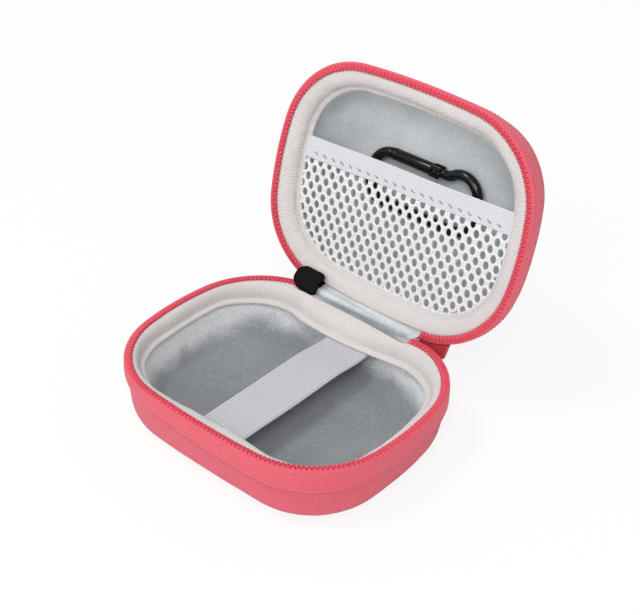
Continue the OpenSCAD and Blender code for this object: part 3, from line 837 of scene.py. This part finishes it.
# %% Teeth of the coil
COIL_IN = 1.36  # how far inside the rim the coil's middle lies
turn = np.linspace(0.03, 2 * PI - 0.03, 15)
link = xyz(0.86 * np.cos(turn), 0.36 * np.sin(turn) + 0.12 * np.cos(turn),
           0.12 - 0.5 * np.cos(turn) ** 6)
tooth = join("tooth", [tube(link, 0.28, sides=6)])


def coil_line(half, start):
    s = steps(700, start + 1.6, S1 - 1.2)
    return rim_line(s, rim_shift(s, half) - COIL_IN, 0.0, half, outward=False)


coil_b = row("lower_coil_teeth", *coil_line("base", S0), PITCH, tooth, COIL)
coil_l = row("upper_coil_teeth", *coil_line("lid", S0 + PITCH / 2), PITCH, tooth, COIL)
fit(coil_b, COIL, "base", "coil", "lower_zip_coil")
fit(coil_l, COIL, "lid", "coil", "upper_zip_coil")

# %% [markdown]
# ## Stitches of the seams
# Two lines of thread hold each tape. A stitch is a short rod, thin at its ends, where the
# thread dives into the cloth. The same row tree sets them, 1.25 mm apart.


# %% Stitches of the seams
def stitch(name, reach, count, slant, top, sag, knots, radii):
    """One stitch: a short bent thread that is thinner at its ends."""
    t = np.linspace(-reach, reach, count)
    line = xyz(slant * t, t, top - sag * t ** 2)
    return join(name, [tube(line, np.interp(np.abs(t), knots, radii), sides=8)])


def seam_line(half, from_edge=None, from_top=None):
    """A seam at a distance from the tape's lower edge or from its top."""
    s = steps(600, S0 + 0.4, S1 - 0.4)
    z = -from_top + 0 * s if from_edge is None else from_edge - tape_height(s, half)
    u = 0.05 + rim_shift(s, half)
    if half == "lid":
        u = u + lid_lean(s, z)
    return rim_line(s, u, z, half, outward=True)


STITCH_PITCH = 1.25
dash = stitch("dash", 0.42, 7, 0, 0.1, 0.5, [0, 0.3, 0.42], [0.14, 0.12, 0.05])
for half, node in (("base", "lower_tape_seams"), ("lid", "upper_tape_seams")):
    seams = [row(f"{node}_a", *seam_line(half, from_edge=0.85), STITCH_PITCH, dash, THREAD),
             row(f"{node}_b", *seam_line(half, from_top=2.3), STITCH_PITCH, dash, THREAD)]
    for obj in seams:
        fit(obj, THREAD, half, "seam_thread", node)

# %% [markdown]
# ## The padded binding
# A soft white roll covers each rim. It is a rounded pad with a narrow piped edge inside, and
# its knitted ribs run across it. A cloth simulation would round that edge away, so the
# section is drawn, its inner edge follows measured places round the case, and slow noise
# gives it the unevenness of something sewn by hand.

# %% Where the binding's inner edge lies
BASE_EDGE = np.array([  # distance along the outline, then outward and up
    (0, -10.8, -6.6), (6, -10.9, -6.6), (11, -10.6, -6.6), (17, -10.0, -6.5), (24, -8.3, -6.2),
    (33, -7.2, -6.0), (44, -6.4, -5.7), (53, -5.9, -5.0), (61, -6.1, -5.0), (73, -6.4, -5.0),
    (85, -5.9, -5.0), (95, -5.5, -5.0), (108, -6.0, -5.0), (118, -6.7, -5.0), (130, -8.3, -5.0),
    (148, -8.4, -5.0), (155, -7.2, -5.0), (163, -6.4, -5.0), (172, -5.6, -5.0),
    (181, -5.4, -5.0), (191, -6.0, -5.0), (201, -6.5, -5.0), (213, -6.8, -5.0),
    (223, -6.6, -5.0), (231, -6.5, -5.1), (240, -7.2, -5.8), (252, -8.0, -6.2),
    (262, -9.6, -6.6)])
LID_EDGE = np.array([(0, -8.4, -4.6), (68, -8.2, -4.6), (136, -8.5, -4.6), (205, -8.3, -4.6)])
print(len(BASE_EDGE), "places on the base's edge,", len(LID_EDGE), "on the lid's")


# %% Binding
def binding_piece(name, half, seed):
    s = steps(900)
    x, y = path(s)[0].T
    knots = BASE_EDGE if half == "base" else LID_EDGE
    gap = s[:, None] - s[None]
    smooth = np.exp(-(gap / 3.0) ** 2) + np.exp(-((np.abs(gap) - LENGTH) / 3.0) ** 2)
    smooth /= smooth.sum(1)[:, None]
    ru, rz = smooth @ knots_at(knots, s), smooth @ knots_at(knots, s, 2)
    ring = xyz(x, y, 0)
    wob = noise(ring, 6.0, seed) * 0.06 + noise(ring, 2.2, seed + 1) * 0.035
    full = 1.0 if half == "base" else 0.86  # below 1 the pad's section is squarer
    back = np.clip((21.5 - np.abs(x)) / 5.0, 0, 1) * (y > 0)
    back = back * back * (3 - 2 * back)
    notch = np.exp(-((x + 20.6) / 4.0) ** 4) * (y > 0)  # room for the slider
    uo = -2.3 + (0.7 * rim_shift(s, half) - 1.75 * notch) * (1 - back)
    zo = -0.45 + 0 * s
    if half == "base":
        uo, zo = uo - back * (1.95 + 0.6 * (x + 17) / 35), zo - 0.35 * back
    a, b = uo - (ru + 1.5), zo - (rz + 1.0)
    cols = [(uo + 0.08, zo - 1.3), (uo + 0.06, zo - 0.7)]
    for t in np.radians(np.linspace(0, 90, 16)):  # the pad
        swell = 1 + wob * math.sin(2 * t)
        cols.append((uo - a * math.sin(t) ** full * swell,
                     rz + 1.0 + b * math.cos(t) ** full * swell))
    for du, dz in ((1.42, 0.72), (1.25, 0.56), (1.0, 0.62), (0.7, 0.66), (0.4, 0.56),
                   (0.12, 0.36), (-0.04, 0.05), (-0.02, -0.28), (0.2, -0.48), (0.6, -0.5)):
        cols.append((ru + du + wob * 0.5, rz + dz))  # the groove and the piped edge
    cols.append((np.maximum(ru + 1.6, -5.4), rz - 0.45))
    return sweep(name, s, np.stack([xyz(u, z) for u, z in cols], 1), half, closed=True)


for half, node, seed in (("base", "base_binding", 5), ("lid", "lid_binding", 8)):
    obj = fit(binding_piece(f"{node}_roll", half, seed), BINDING, half, "binding", node)

# %% [markdown]
# ## The elastic strap
# A flat band with ribs along its length, held at its ends under the binding. It is stretched,
# so it needs no folds, only a slight sag in the middle. Its fifteen ribs are in the mesh,
# because they catch the light along their whole length.


# %% Strap
def rib_wave(across, ribs):
    """The height of a band's ribs, from 0 to 1."""
    return np.abs(np.sin(across * ribs * PI))


def strap_piece():
    width, thick, reach, ribs = 15.0, 0.9, 31.0, 15
    across = np.linspace(-0.5, 0.5, ribs * 6 + 1)
    top = 0.1 * rib_wave(across, ribs)
    edge = np.clip((0.5 - np.abs(across)) * width / 0.35, 0, 1)
    y = np.linspace(-reach, reach, 90)
    dip = np.clip((y - 12) / 12, 0, 1)
    mid = (13.35 - 0.3 * (1 - (y / reach) ** 2) + 0.06 * np.sin(y / 4.0)
           - 1.0 * dip ** 2 * (3 - 2 * dip))[:, None]
    x0 = 1.0 + 0.25 * np.sin(y / 21.0) - 0.1 * y / reach
    half_t = thick / 2 * np.sqrt(edge)
    x = x0[:, None] + across * width * (1 + 0.012 * np.cos(y / 9.0))[:, None]
    return band("retaining_strap_band", y, across * width,
                xyz(x, y[:, None], mid + half_t + top * edge),
                xyz(x, y[:, None], mid - half_t - top * edge * 0.6))


strap = strap_piece()
fit(strap, STRAP, "base", "strap", "retaining_strap")

# %% [markdown]
# ## The net pocket
# The net is knitted from yarn, in staggered rows of oval holes. A flat sheet with a pattern
# of holes would look like paper, so each hole gets a ring of yarn that touches the next.
# Points make the pattern, a tree puts a ring on each, and the points that would lie outside
# the pocket are left out.

# %% The net's pattern
HEM_SLOPE, HEM_TOP, HEM_H = -0.03, -8.95, 6.8  # the hem's slant, upper edge and height
RING_X, RING_Y = 3.5, 2.55                     # from ring to ring, and from row to row
NET_Z, NET_EDGE = -4.35, -7.4                  # the net's height, and its gap to the rim


def inside_distance(x, y):
    """Distance from the outline, negative inside."""
    px, py = abs(x), abs(y)
    if px > cx and py > cy and sa < math.atan2(py - cy, px - cx) < fa:
        return math.hypot(px - cx, py - cy) - CORNER
    return max(math.hypot(px, py - fc) - FRONT_R, math.hypot(px - sc, py) - SIDE_R)


def hem_low(x):
    """y of the hem's lower edge."""
    return HEM_TOP + HEM_H + HEM_SLOPE * x


ring_spots = []
for j in range(-2, 18):
    for i in range(-14, 15):
        x = (i + (j % 2) / 2) * RING_X + 0.3
        y = hem_low(x) + 0.6 + j * RING_Y
        if y >= hem_low(x) - 0.4 and inside_distance(x, y) <= NET_EDGE:
            ring_spots.append((x, y, NET_Z))
print(len(ring_spots), "rings in the net")


# %% Net
def net_tree():
    """Points in, rings of yarn out. Named inputs: yarn, width, height and material."""
    t, i, o = group("Knitted net",
                    [("Geometry", "Geometry"), ("Yarn", "Float", 0.5 * MM),
                     ("Width", "Float", 1.36 * MM), ("Height", "Float", 1.7 * MM),
                     ("Material", "Material")], [("Geometry", "Geometry")], "GeometryNodeTree")
    ring = add(t, "GeometryNodeCurvePrimitiveCircle", {"Resolution": 18, "Radius": 1.0},
               mode="RADIUS").outputs[0]
    size = add(t, "ShaderNodeCombineXYZ", {"X": i["Width"], "Y": i["Height"], "Z": 1.0})
    oval = add(t, "GeometryNodeTransform", {"Geometry": ring, "Scale": size.outputs[0]})
    yarn = add(t, "GeometryNodeCurvePrimitiveCircle", {"Resolution": 7, "Radius": i["Yarn"]},
               mode="RADIUS").outputs[0]
    loop = add(t, "GeometryNodeCurveToMesh", {"Curve": oval.outputs[0], "Profile Curve": yarn})
    loop = add(t, "GeometryNodeSetShadeSmooth", {"Geometry": loop.outputs[0]}).outputs[0]
    placed = add(t, "GeometryNodeInstanceOnPoints", {"Points": i["Geometry"],
                                                     "Instance": loop}).outputs[0]
    return close_tree(t, placed, i["Material"], o["Geometry"])


def net_piece():
    """The rings, and then the slow waves of a net that hangs a little loose."""
    obj = run_tree(new_object("pocket_net_yarn", ring_spots, []), net_tree(), Material=NET)
    p = points_of(obj)
    wave = noise(p, 9.0, 21) * 0.18
    under_hem = np.clip((hem_low(p[:, 0]) + 0.5 - p[:, 1]) / 1.2, 0, 1)
    p[:, 2] += wave - 0.15 - 0.6 * under_hem
    p[:, 0] += noise(p, 5.0, 22) * 0.1
    p[:, 1] += noise(p, 5.0, 23) * 0.12
    obj.data.vertices.foreach_set("co", (place(p, "lid") * MM).ravel())
    return obj


net = net_piece()
fit(net, NET, "lid", "net", "pocket_net")

# %% [markdown]
# ## The hem and its stitches
# A ribbed elastic holds the net's upper edge. Like the strap it is a closed band with its
# ribs in the mesh, and it waves a little along its lower edge, where the net pulls on it.
# One row of slanted stitches runs along it.


# %% Hem
def hem_piece():
    ribs, deep = 11, -4.42
    across = np.linspace(0, 1, ribs * 6 + 1)
    x = np.linspace(-39.2, 39.2, 150)
    top = HEM_TOP + HEM_SLOPE * x + 0.12 * np.sin(x / 7.0)
    y = top[:, None] + HEM_H * across * (1 + 0.01 * np.sin(x / 5.0))[:, None]
    edge = np.sqrt(np.clip(np.minimum(across, 1 - across) * HEM_H / 0.3, 0, 1))
    wave = (0.16 * np.sin(x / 3.3) + 0.1 * np.sin(x / 1.7))[:, None] * across ** 3 * 0.6
    front = deep + 0.38 * edge + 0.07 * rib_wave(across, ribs) * edge + wave
    rear = deep - 0.38 * edge + wave
    return band("pocket_hem_band", x, across * HEM_H, place(xyz(x[:, None], y, front), "lid"),
                place(xyz(x[:, None], y, rear), "lid"))


hem = hem_piece()
fit(hem, HEM, "lid", "hem", "pocket_hem")

# %% Stitches of the hem
hem_x = np.linspace(-33, 33, 120)
hem_row = standing(xyz(hem_x, hem_low(hem_x) - 2.0, -3.98), [0, 0, 1.0], "lid")
long_dash = stitch("long_dash", 0.7, 9, 0.5, 0.12, 0.16, [0, 0.5, 0.7], [0.2, 0.17, 0.06])
HEM_STITCH_PITCH = 3.2
# The stitches carry the dark grey that paints their shadows.
hem_stitch = row("hem_stitch_row", *hem_row, HEM_STITCH_PITCH, long_dash, HEM_STITCH_SHADE)
fit(hem_stitch, HEM_STITCH_SHADE, "lid", "hem_thread", "hem_stitches")

# %% [markdown]
# ## The snap hook's rod
# The hook is one bent rod in a closed pear form, flat in the lid behind the net. A curve
# object would need handles at every bend. The rod's middle line is made of arcs that meet
# smoothly instead, and a tube runs along it. At one end it has a flat tongue with an eye,
# where the gate's rivet goes through.

# %% The snap hook's rod
HOOK_AT = (0.8, -11.4, -13.05)  # where it lies in the lid
GATE_Y, BACK_Y, LEFT_X = 1.85, 17.1, -18.8
LEFT_R, NOSE_R, NECK_R, NOSE_X, NOSE_Y, NECK_X = 6.0, 6.3, 2.7, 12.5, 6.35, 7.1
PIN_X, ROD_R = 3.5, 1.6


def hook_place(p):
    """From the hook's own frame to its place."""
    return place(np.asarray(p, float) + HOOK_AT, "lid")


def arc_points(x, y, r, a0, a1, n=14):
    a = np.radians(np.linspace(a0, a1, n))
    return xyz(x + r * np.cos(a), y + r * np.sin(a), 0)


neck_turn = math.degrees(math.atan(0.75))
route = np.concatenate([
    arc_points(LEFT_X + LEFT_R, GATE_Y + LEFT_R, LEFT_R, 270, 180),
    arc_points(LEFT_X + LEFT_R, BACK_Y - LEFT_R, LEFT_R, 180, 90),
    arc_points(NOSE_X, BACK_Y - NOSE_R, NOSE_R, 90, 0),
    arc_points(NOSE_X, NOSE_Y, NOSE_R, 0, -90 - neck_turn, n=24),
    arc_points(NECK_X, GATE_Y - NECK_R, NECK_R, 90 - neck_turn, 90, n=8),
    np.array([[6.3, GATE_Y, 0]])])
route = route[np.append(True, np.linalg.norm(np.diff(route, axis=0), axis=1) > 0.03)]
tongue = block(PIN_X - 0.9, 6.9, GATE_Y - 1.2, GATE_Y + 1.2, -0.8, 0.8)
eye = lathe([(-0.8, 0.6), (-0.8, 1.1), (-0.7, 1.2), (0.7, 1.2), (0.8, 1.1), (0.8, 0.6)],
            axis="z", at=(PIN_X, GATE_Y, 0))
hook = join("hook_rod", [tube(route, ROD_R, sides=20), tongue, eye], hook_place)
fit(hook, HOOK, "hook", "hook_metal", "hook_frame")
print("the rod is", run_length(route)[-1].round(1), "mm long")

# %% [markdown]
# ## The gate and its rivet
# The gate is a turned sleeve with a groove near its tip and two flat cheeks that hold the
# rivet. A lathe section makes the sleeve, two bars make the cheeks, and a small bevel takes
# the sharp edges off, as on the real casting. The plunger and the spring inside it are
# right as the model has them and get only a better metal.

# %% The gate and its rivet
GATE_L, GATE_R = -12.6, 5.2  # the gate's two ends
gate_body = lathe([(GATE_L - 1.5, 0.3), (GATE_L - 1.5, 0.62), (GATE_L + 0.02, 0.66),
                   (GATE_L + 0.02, 1.6), (GATE_L + 0.15, 1.83), (GATE_L + 1.2, 1.85),
                   (GATE_L + 1.35, 1.6), (GATE_L + 1.6, 1.58), (GATE_L + 1.75, 1.85),
                   (-4.0, 1.85), (GATE_R - 3.4, 1.85)], at=(0, GATE_Y, 0))
cheeks = [block(GATE_R - 3.5, GATE_R, GATE_Y - 1.75, GATE_Y + 1.75, z0, z1, n=4)
          for z0, z1 in ((0.92, 1.75), (-1.75, -0.92))]
gate = join("hook_gate_sleeve", [gate_body, *cheeks], hook_place)
fit(bevelled(gate, 0.18, segments=3, angle=40), HOOK, "gate", "hook_metal", "hook_gate")

heads = [lathe([(sign * 0.9, 0.42), (sign * 1.8, 0.42), (sign * 1.88, 0.3), (sign * 1.9, 0.05)],
               sides=20, axis="z", at=(x, GATE_Y, 0))
         for x in (PIN_X - 0.25, PIN_X + 1.35) for sign in (1, -1)]
fit(join("hook_rivets", heads, hook_place), RIVET, "gate", "pin_steel", "gate_pin")
for node in ("gate_plunger", "gate_spring"):
    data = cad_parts[node].data
    data.materials.clear()
    data.materials.append(STEEL)

# %% [markdown]
# ## Slider
# The slider holds the two halves of the zip together between two small plates, with a wedge
# between them, and its bridge carries the pull. It is a casting with rolled edges. Each
# plate is a stack of rounded outlines, which gives the crown and the rolled edge without a
# bevel, and the bridge is a flattened tube.

# %% Slider
CORNER_X, CORNER_Y, BEND_R = 16, 7, 29  # the circle that the zip follows there
SLIDER_X = -21.95
SLIDER_AT = math.asin((-SLIDER_X - CORNER_X) / BEND_R)
SLIDER_Y = CORNER_Y + BEND_R * math.cos(SLIDER_AT)
PLATE_IN, PLATE_OUT, PLATE_T, ARCH_Y = -2.95, 0.2, 1.1, 3.3


def at_slider(p):
    """Slider's own frame (x along the zip, y out of the wall, z across the rim) to place."""
    p = np.asarray(p, float)
    c, s = math.cos(SLIDER_AT), math.sin(SLIDER_AT)
    q = xyz(SLIDER_X + p[..., 0] * c - p[..., 1] * s,
            SLIDER_Y + p[..., 0] * s + p[..., 1] * c, BASE_H + p[..., 2])
    return opened(q, OPEN / 2)


# %% Slider's parts
def power(x, p):
    """A power that keeps the sign, for outlines between an oval and a rectangle."""
    return np.sign(x) * np.abs(x) ** p


def plate(y0, y1, crown):
    """A slider plate: rounded outline, rolled edges, crowned on the outer side."""
    long, wide, inner = 4.75, 3.3, y1 < y0
    a = np.linspace(0, 2 * PI, 56, endpoint=False)
    x = long * power(np.cos(a), 0.62)
    z = wide * power(np.sin(a), 0.6)
    z *= np.interp(x, [-long, -long * 0.5, long * 0.2, long],
                   [0.8, 1.0, 0.98, 1.2 if inner else 0.66])
    if inner:
        z *= np.where(z < 0, 1.2, 1.0)
    tail = 1.2 * (np.clip(x / long, 0, 1) ** 2) * (1 - np.abs(z) / wide) * inner
    rings = [xyz((x - tail) * k, y0 + (y1 - y0) * f, z * k)
             for k, f in ((0.93, 0.0), (1.0, 0.18), (1.0, 0.72), (0.93, 0.95),
                          (0.75, 1.0 + crown * 0.5), (0.4, 1.0 + crown),
                          (0.05, 1.0 + crown * 1.1))]
    pts = np.array([rings[0] * [0.1, 1, 0.1], *rings])[:, ::1 if inner else -1]
    return pts, xyz(np.arange(len(pts))[:, None], a), False, True


def bridge():
    """The arch over the outer plate, as a bent bar."""
    t = np.linspace(0, PI, 17)
    foot = PLATE_OUT + PLATE_T - 0.3
    line = xyz(-3.6 * np.cos(t), foot + (ARCH_Y + 0.1 - foot) * np.sin(t) ** 0.55, 0)
    pts, *rest = tube(line, 0.66)
    return pts * [1, 1, 1.35], *rest


wedge = block(-4.2, -1.6, PLATE_IN - 0.2, PLATE_OUT + 0.2, -0.9, 0.9)
slider = join("slider_body", [plate(PLATE_IN, PLATE_IN - PLATE_T, 0.1),
                              plate(PLATE_OUT, PLATE_OUT + PLATE_T, 0.25), bridge(), wedge],
              at_slider)
fit(slider, BLACK, "slider", "black_metal", "zip_slider")

# %% [markdown]
# ## Pull
# A ring in the bridge, a neck, and a flat grip that widens to a rounded tip. The grip is a
# stack of flattened rings whose width follows the grip's outline. Its middle is thinner than
# its border, as where a finger holds it.

# %% Pull
PIVOT = at_slider([0, ARCH_Y, 0])
TIP_W, TIP_FROM = 2.1, 0.84  # half width at the tip, and the share of the length before it


def pull_piece():
    """Ring, neck and grip, drawn with the pivot at the origin."""
    a = np.linspace(0, 2 * PI, 33)[:-1]
    ring = tube(xyz(0, 1.45 * np.cos(a), 1.45 * np.sin(a) - 0.3), 0.45, closed=True)
    t = np.linspace(0, 1, 30)
    z = (-1.35 - 12.15 * t)[:, None]
    w = np.interp(t, [0, 0.06, 0.16, 0.35, 0.85], [0.75, 0.95, 1.35, 1.75, TIP_W])
    tip = np.clip(1 - ((t - TIP_FROM) / (1 - TIP_FROM)) ** 2, 0.002, 1)
    w = np.where(t > TIP_FROM, TIP_W * np.sqrt(tip), w)[:, None]
    b = np.linspace(0, 2 * PI, 24, endpoint=False)
    u, v = power(np.cos(b), 0.35), power(np.sin(b), 0.7)
    dip = np.where((t > 0.3) & (t < 0.86), 0.62, 1.0)
    dip = np.convolve(np.pad(dip, 1, mode="edge"), [0.25, 0.5, 0.25], mode="valid")
    thick = 0.6 * np.where(np.abs(u) < 0.8, dip[:, None], 1.0)
    grip = xyz(w * u, thick * v, z), xyz(z, b), False, True
    return join("slider_pull_tab", [ring, grip], lambda p: p + PIVOT)


fit(pull_piece(), BLACK, "pull", "black_metal", "slider_pull")

# %% [markdown]
# ## Cloth hinge
# Velvet runs across the hinge from one binding to the other and sinks in between, and a woven band
# covers the outside. Riding on one half they would tear off the other, so they ride on neither.
# Both are thin bands whose section is a bent line, and each runs from the base to the lid as it
# stands open.

# %% Cloth hinge
HINGE_END = 18.95  # x of the right end of both bands


def strip_piece(name, line, x0, sag):
    """A band along x whose section is a line; sag moves it up or down between its edges."""
    thick = 0.7
    x = np.linspace(x0, HINGE_END, 90)
    ring = np.concatenate([line, (line - left_of(line) * thick)[::-1]])
    pts = xyz(x[:, None], ring[:, 0], ring[:, 1])
    m = len(line)
    shift = sag(x[:, None], line[None, :, 0]) * np.sin(np.linspace(0, PI, m)) ** 0.6
    pts[:, :m, 2] += shift
    pts[:, m:, 2] += shift[:, ::-1]
    return join(name, [(pts, xyz(x[:, None], run_length(ring)), False, True)])


def velvet_sag(x, y):
    """A valley and a small ridge along the fold, with slight unevenness."""
    mid = 1 - (x / 19.0) ** 2
    dip = -1.1 * np.exp(-((y - 33.6 - 0.006 * x) / 0.8) ** 2) * (0.35 + 0.65 * mid)
    ridge = 0.3 * np.exp(-((y - 35.3 + 0.012 * x) / 0.5) ** 2)
    return dip + ridge + 0.05 * np.sin(x / 2.6 + y) + 0.03 * np.sin(x / 1.1 - 2 * y)


section = np.array([(31.0, 18.75), (32.2, 18.75), (33.0, 18.85), (33.4, 19.12), (34.1, 19.25),
                    (35.5, 19.2), (36.7, 19.25), (37.6, 19.3), (38.3, 19.45), (38.75, 19.7),
                    (38.95, 20.2), (39.02, 21.0), (39.08, 21.9)])
gone = run_length(section)
even = np.linspace(0, gone[-1], 50)
section = xyz(np.interp(even, gone, section[:, 0]), np.interp(even, gone, section[:, 1]))
hinge_velvet = strip_piece("hinge_velvet_strip", section, -18.3, velvet_sag)
x, y, _ = points_of(hinge_velvet).T
# Painted shade: the velvet is darkened in the valley beside the base's binding and paler on the
# rest of the strip, with faint painted streaks of light along it.
middle = 0.35 + 0.65 * np.clip(1 - (x / 17) ** 2, 0, 1)
valley_shade = np.clip((34.9 + 0.012 * x - y) / 1.3, 0, 1) * middle
store(hinge_velvet, "painted_light", np.clip(0.78 - valley_shade + 0.12 * np.sin(1.9 * y + x / 7), 0.1, 1))
fit(hinge_velvet, HINGE_VELVET, None, "hinge_velvet", "hinge_lining")
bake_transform(hinge_velvet)

# %% Outer band of the hinge
leg = np.linspace(0, 1, 9)
outer = [np.array([36.2, 14.4 + 4.0 * t]) for t in leg]
lid_leg = [opened(np.array([0, 36.2, 21.7 + 3.9 * t]))[1:] for t in leg]
fold_line = [outer[-1] * (1 - t) + lid_leg[0] * t + np.array([0.12, -0.12]) * math.sin(PI * t)
             for t in np.linspace(0, 1, 7)[1:-1]]
band_line = np.array(outer + fold_line + lid_leg)[::-1]
hinge_band = strip_piece("hinge_outer_band", band_line, -18.6, lambda x, y: 0.0 * (x + y))
fit(hinge_band, HINGE_CLOTH, None, "hinge_cloth", "hinge_cover")
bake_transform(hinge_band)

# %% [markdown]
# ## Hanging loop
# A satin ribbon is folded in two and sewn to the band with a bar of dense stitches. The
# ribbon's run is drawn as a flat line, seen from above, which is easy to reshape. It is then
# given its width, its thickness and a slight bow. The stitches are one zigzag thread.

# %% Hanging loop
LOOP_TILT, LOOP_W, HALF_T = math.radians(15), 5.5, 0.26
HUG = 36.32  # y of the wall that the ribbon lies on


def loop_place(x, y, v):
    """x along the ribbon's run, y outwards and v down from its upper edge."""
    c, s = math.cos(LOOP_TILT), math.sin(LOOP_TILT)
    return xyz(19 + (x - 19) * c - v * s, y, 17.0 + (x - 19) * s - v * c)


def bow(v):
    """How far the ribbon's middle stands out."""
    return 0.12 * np.sin(v / LOOP_W * PI)


a = np.linspace(-PI / 2, PI / 2, 13)
ribbon_line = np.concatenate([
    xyz(np.linspace(13, 17.5, 8), 0.3), [[19.0, 0.75], [20.5, 1.35], [24, 1.5], [27, 1.45]],
    xyz(28.2 + 0.75 * np.cos(a), 2.15 + 0.75 * np.sin(a)),
    [[26.5, 2.75], [24, 2.7], [21, 2.3], [19.3, 1.75], [17.6, 1.0], [13, 0.92]]]) + [0, HUG]
v = np.linspace(0, LOOP_W, 17)
sides = []
for sign in (1, -1):
    line = (ribbon_line + left_of(ribbon_line) * HALF_T * sign)[:, None]
    sides.append(loop_place(line[..., 0], line[..., 1] + bow(v), v))
pts = np.concatenate([sides[0], sides[1][:, ::-1]], 1)
uv = xyz(run_length(ribbon_line)[:, None], np.concatenate([v, LOOP_W + v]))
loop = join("hanging_ribbon_loop", [(pts, uv, False, True)])
fit(loop, RIBBON, "base", "ribbon", "hang_loop")

# %% Stitches of the loop
count = 20
tack_v = np.linspace(0.7, LOOP_W - 0.7, count)
tack_line = xyz(14.2 + 2.2 * (np.arange(count) % 2), HUG + 1.32 + bow(tack_v), tack_v)
tack_line = np.repeat(tack_line, 3, 0)[1:-1]
tack = join("ribbon_bar_tack", [tube(loop_place(*tack_line.T), 0.17, sides=8)])
fit(tack, THREAD, "base", "ribbon_thread", "loop_bar_tack")

# %% [markdown]
# ## Camera
# The camera stands where the photograph was taken from. Its place, turn and lens were worked
# out from the outlines in the photograph, because a camera set by eye would make every
# comparison of shapes uncertain.

# %% Camera
AZ, EL, ROLL = math.radians(39.677), math.radians(35.123), math.radians(1.593)
back_dir = Vector((math.sin(AZ) * math.cos(EL), -math.cos(AZ) * math.cos(EL), math.sin(EL)))
right_dir = Vector((math.cos(AZ), math.sin(AZ), 0))
up_dir = back_dir.cross(right_dir)
right_turned = right_dir * math.cos(ROLL) + up_dir * math.sin(ROLL)
up_turned = up_dir * math.cos(ROLL) - right_dir * math.sin(ROLL)
cam_data = bpy.data.cameras.new("photo_camera")
cam_data.lens, cam_data.sensor_width, cam_data.sensor_fit = 76.70, 36.0, "HORIZONTAL"
cam_data.clip_start, cam_data.clip_end = 0.01, 50
cam = bpy.data.objects.new("photo_camera", cam_data)
cam.matrix_world = Matrix.Translation(Vector((0.20075, -0.22757, 0.25303))) @ Matrix(
    (right_turned, up_turned, back_dir)).transposed().to_4x4()
bpy.context.scene.collection.objects.link(cam)
bpy.context.scene.camera = cam
print("lens of", round(cam_data.lens, 1), "mm")

# %% [markdown]
# ## Floor and light
# The case stands on a pale floor in a plain white room. The floor glows only for the
# camera's own rays, so it looks white and still shows the case's shadow, and no extra light
# falls on the case. Three soft lamps at a plain level show each colour about as it is.

# %% Floor
floor_mesh = bpy.data.meshes.new("floor")
floor_mesh.from_pydata([(-6, -6, -0.0002), (6, -6, -0.0002), (6, 6, -0.0002), (-6, 6, -0.0002)],
                       [], [(0, 1, 2, 3)])
floor = bpy.data.objects.new("floor", floor_mesh)
bpy.context.scene.collection.objects.link(floor)
paper = material("White paper", (0.9, 0.9, 0.9, 1), rough=1.0, spec=0.0)
t = paper.node_tree
seen = add(t, "ShaderNodeLightPath").outputs["Is Camera Ray"]
glow = add(t, "ShaderNodeEmission", {"Strength": 1.0}).outputs[0]
shown = add(t, "ShaderNodeMixShader", {0: calc(t, "MULTIPLY", seen, 0.85),
                                       1: t.nodes["Principled BSDF"].outputs[0], 2: glow})
t.links.new(shown.outputs[0], t.nodes["Material Output"].inputs["Surface"])
floor_mesh.materials.append(paper)

# %% Light
world = bpy.context.scene.world or bpy.data.worlds.new("World")
bpy.context.scene.world = world
world.use_nodes = True
t = world.node_tree
sky = t.nodes["Background"]
sky.inputs["Color"].default_value = (1, 1, 1, 1)
seen = add(t, "ShaderNodeLightPath").outputs["Is Camera Ray"]
t.links.new(calc(t, "ADD", calc(t, "MULTIPLY", seen, 0.4), 0.6), sky.inputs["Strength"])


def lamp(name, place_at, target, size, power):
    """A round soft lamp that faces the target; size in metres, power in watts."""
    data = bpy.data.lights.new(name, "AREA")
    data.shape, data.size, data.energy = "DISK", size, power
    obj = bpy.data.objects.new(name, data)
    obj.location = place_at
    obj.rotation_euler = (Vector(target) - Vector(place_at)).to_track_quat("-Z", "Y").to_euler()
    bpy.context.scene.collection.objects.link(obj)
    print(name, power, "W")


lamp("key_lamp", (-0.5, -0.6, 1.5), (0, 0, 0.03), 0.5, 7)
lamp("fill_lamp", (0.62, -0.8, 1.15), (0, 0, 0.03), 0.5, 6.5)
lamp("front_lamp", (0.05, -1.5, 0.95), (0, 0, 0.05), 0.8, 5)
bpy.context.scene.view_settings.view_transform = "Standard"

# %% [markdown]
# ## Finish
# The single tooth and the two single stitches have done their work and are removed.

# %% Finish
for piece in (tooth, dash, long_dash):
    bpy.data.objects.remove(piece)
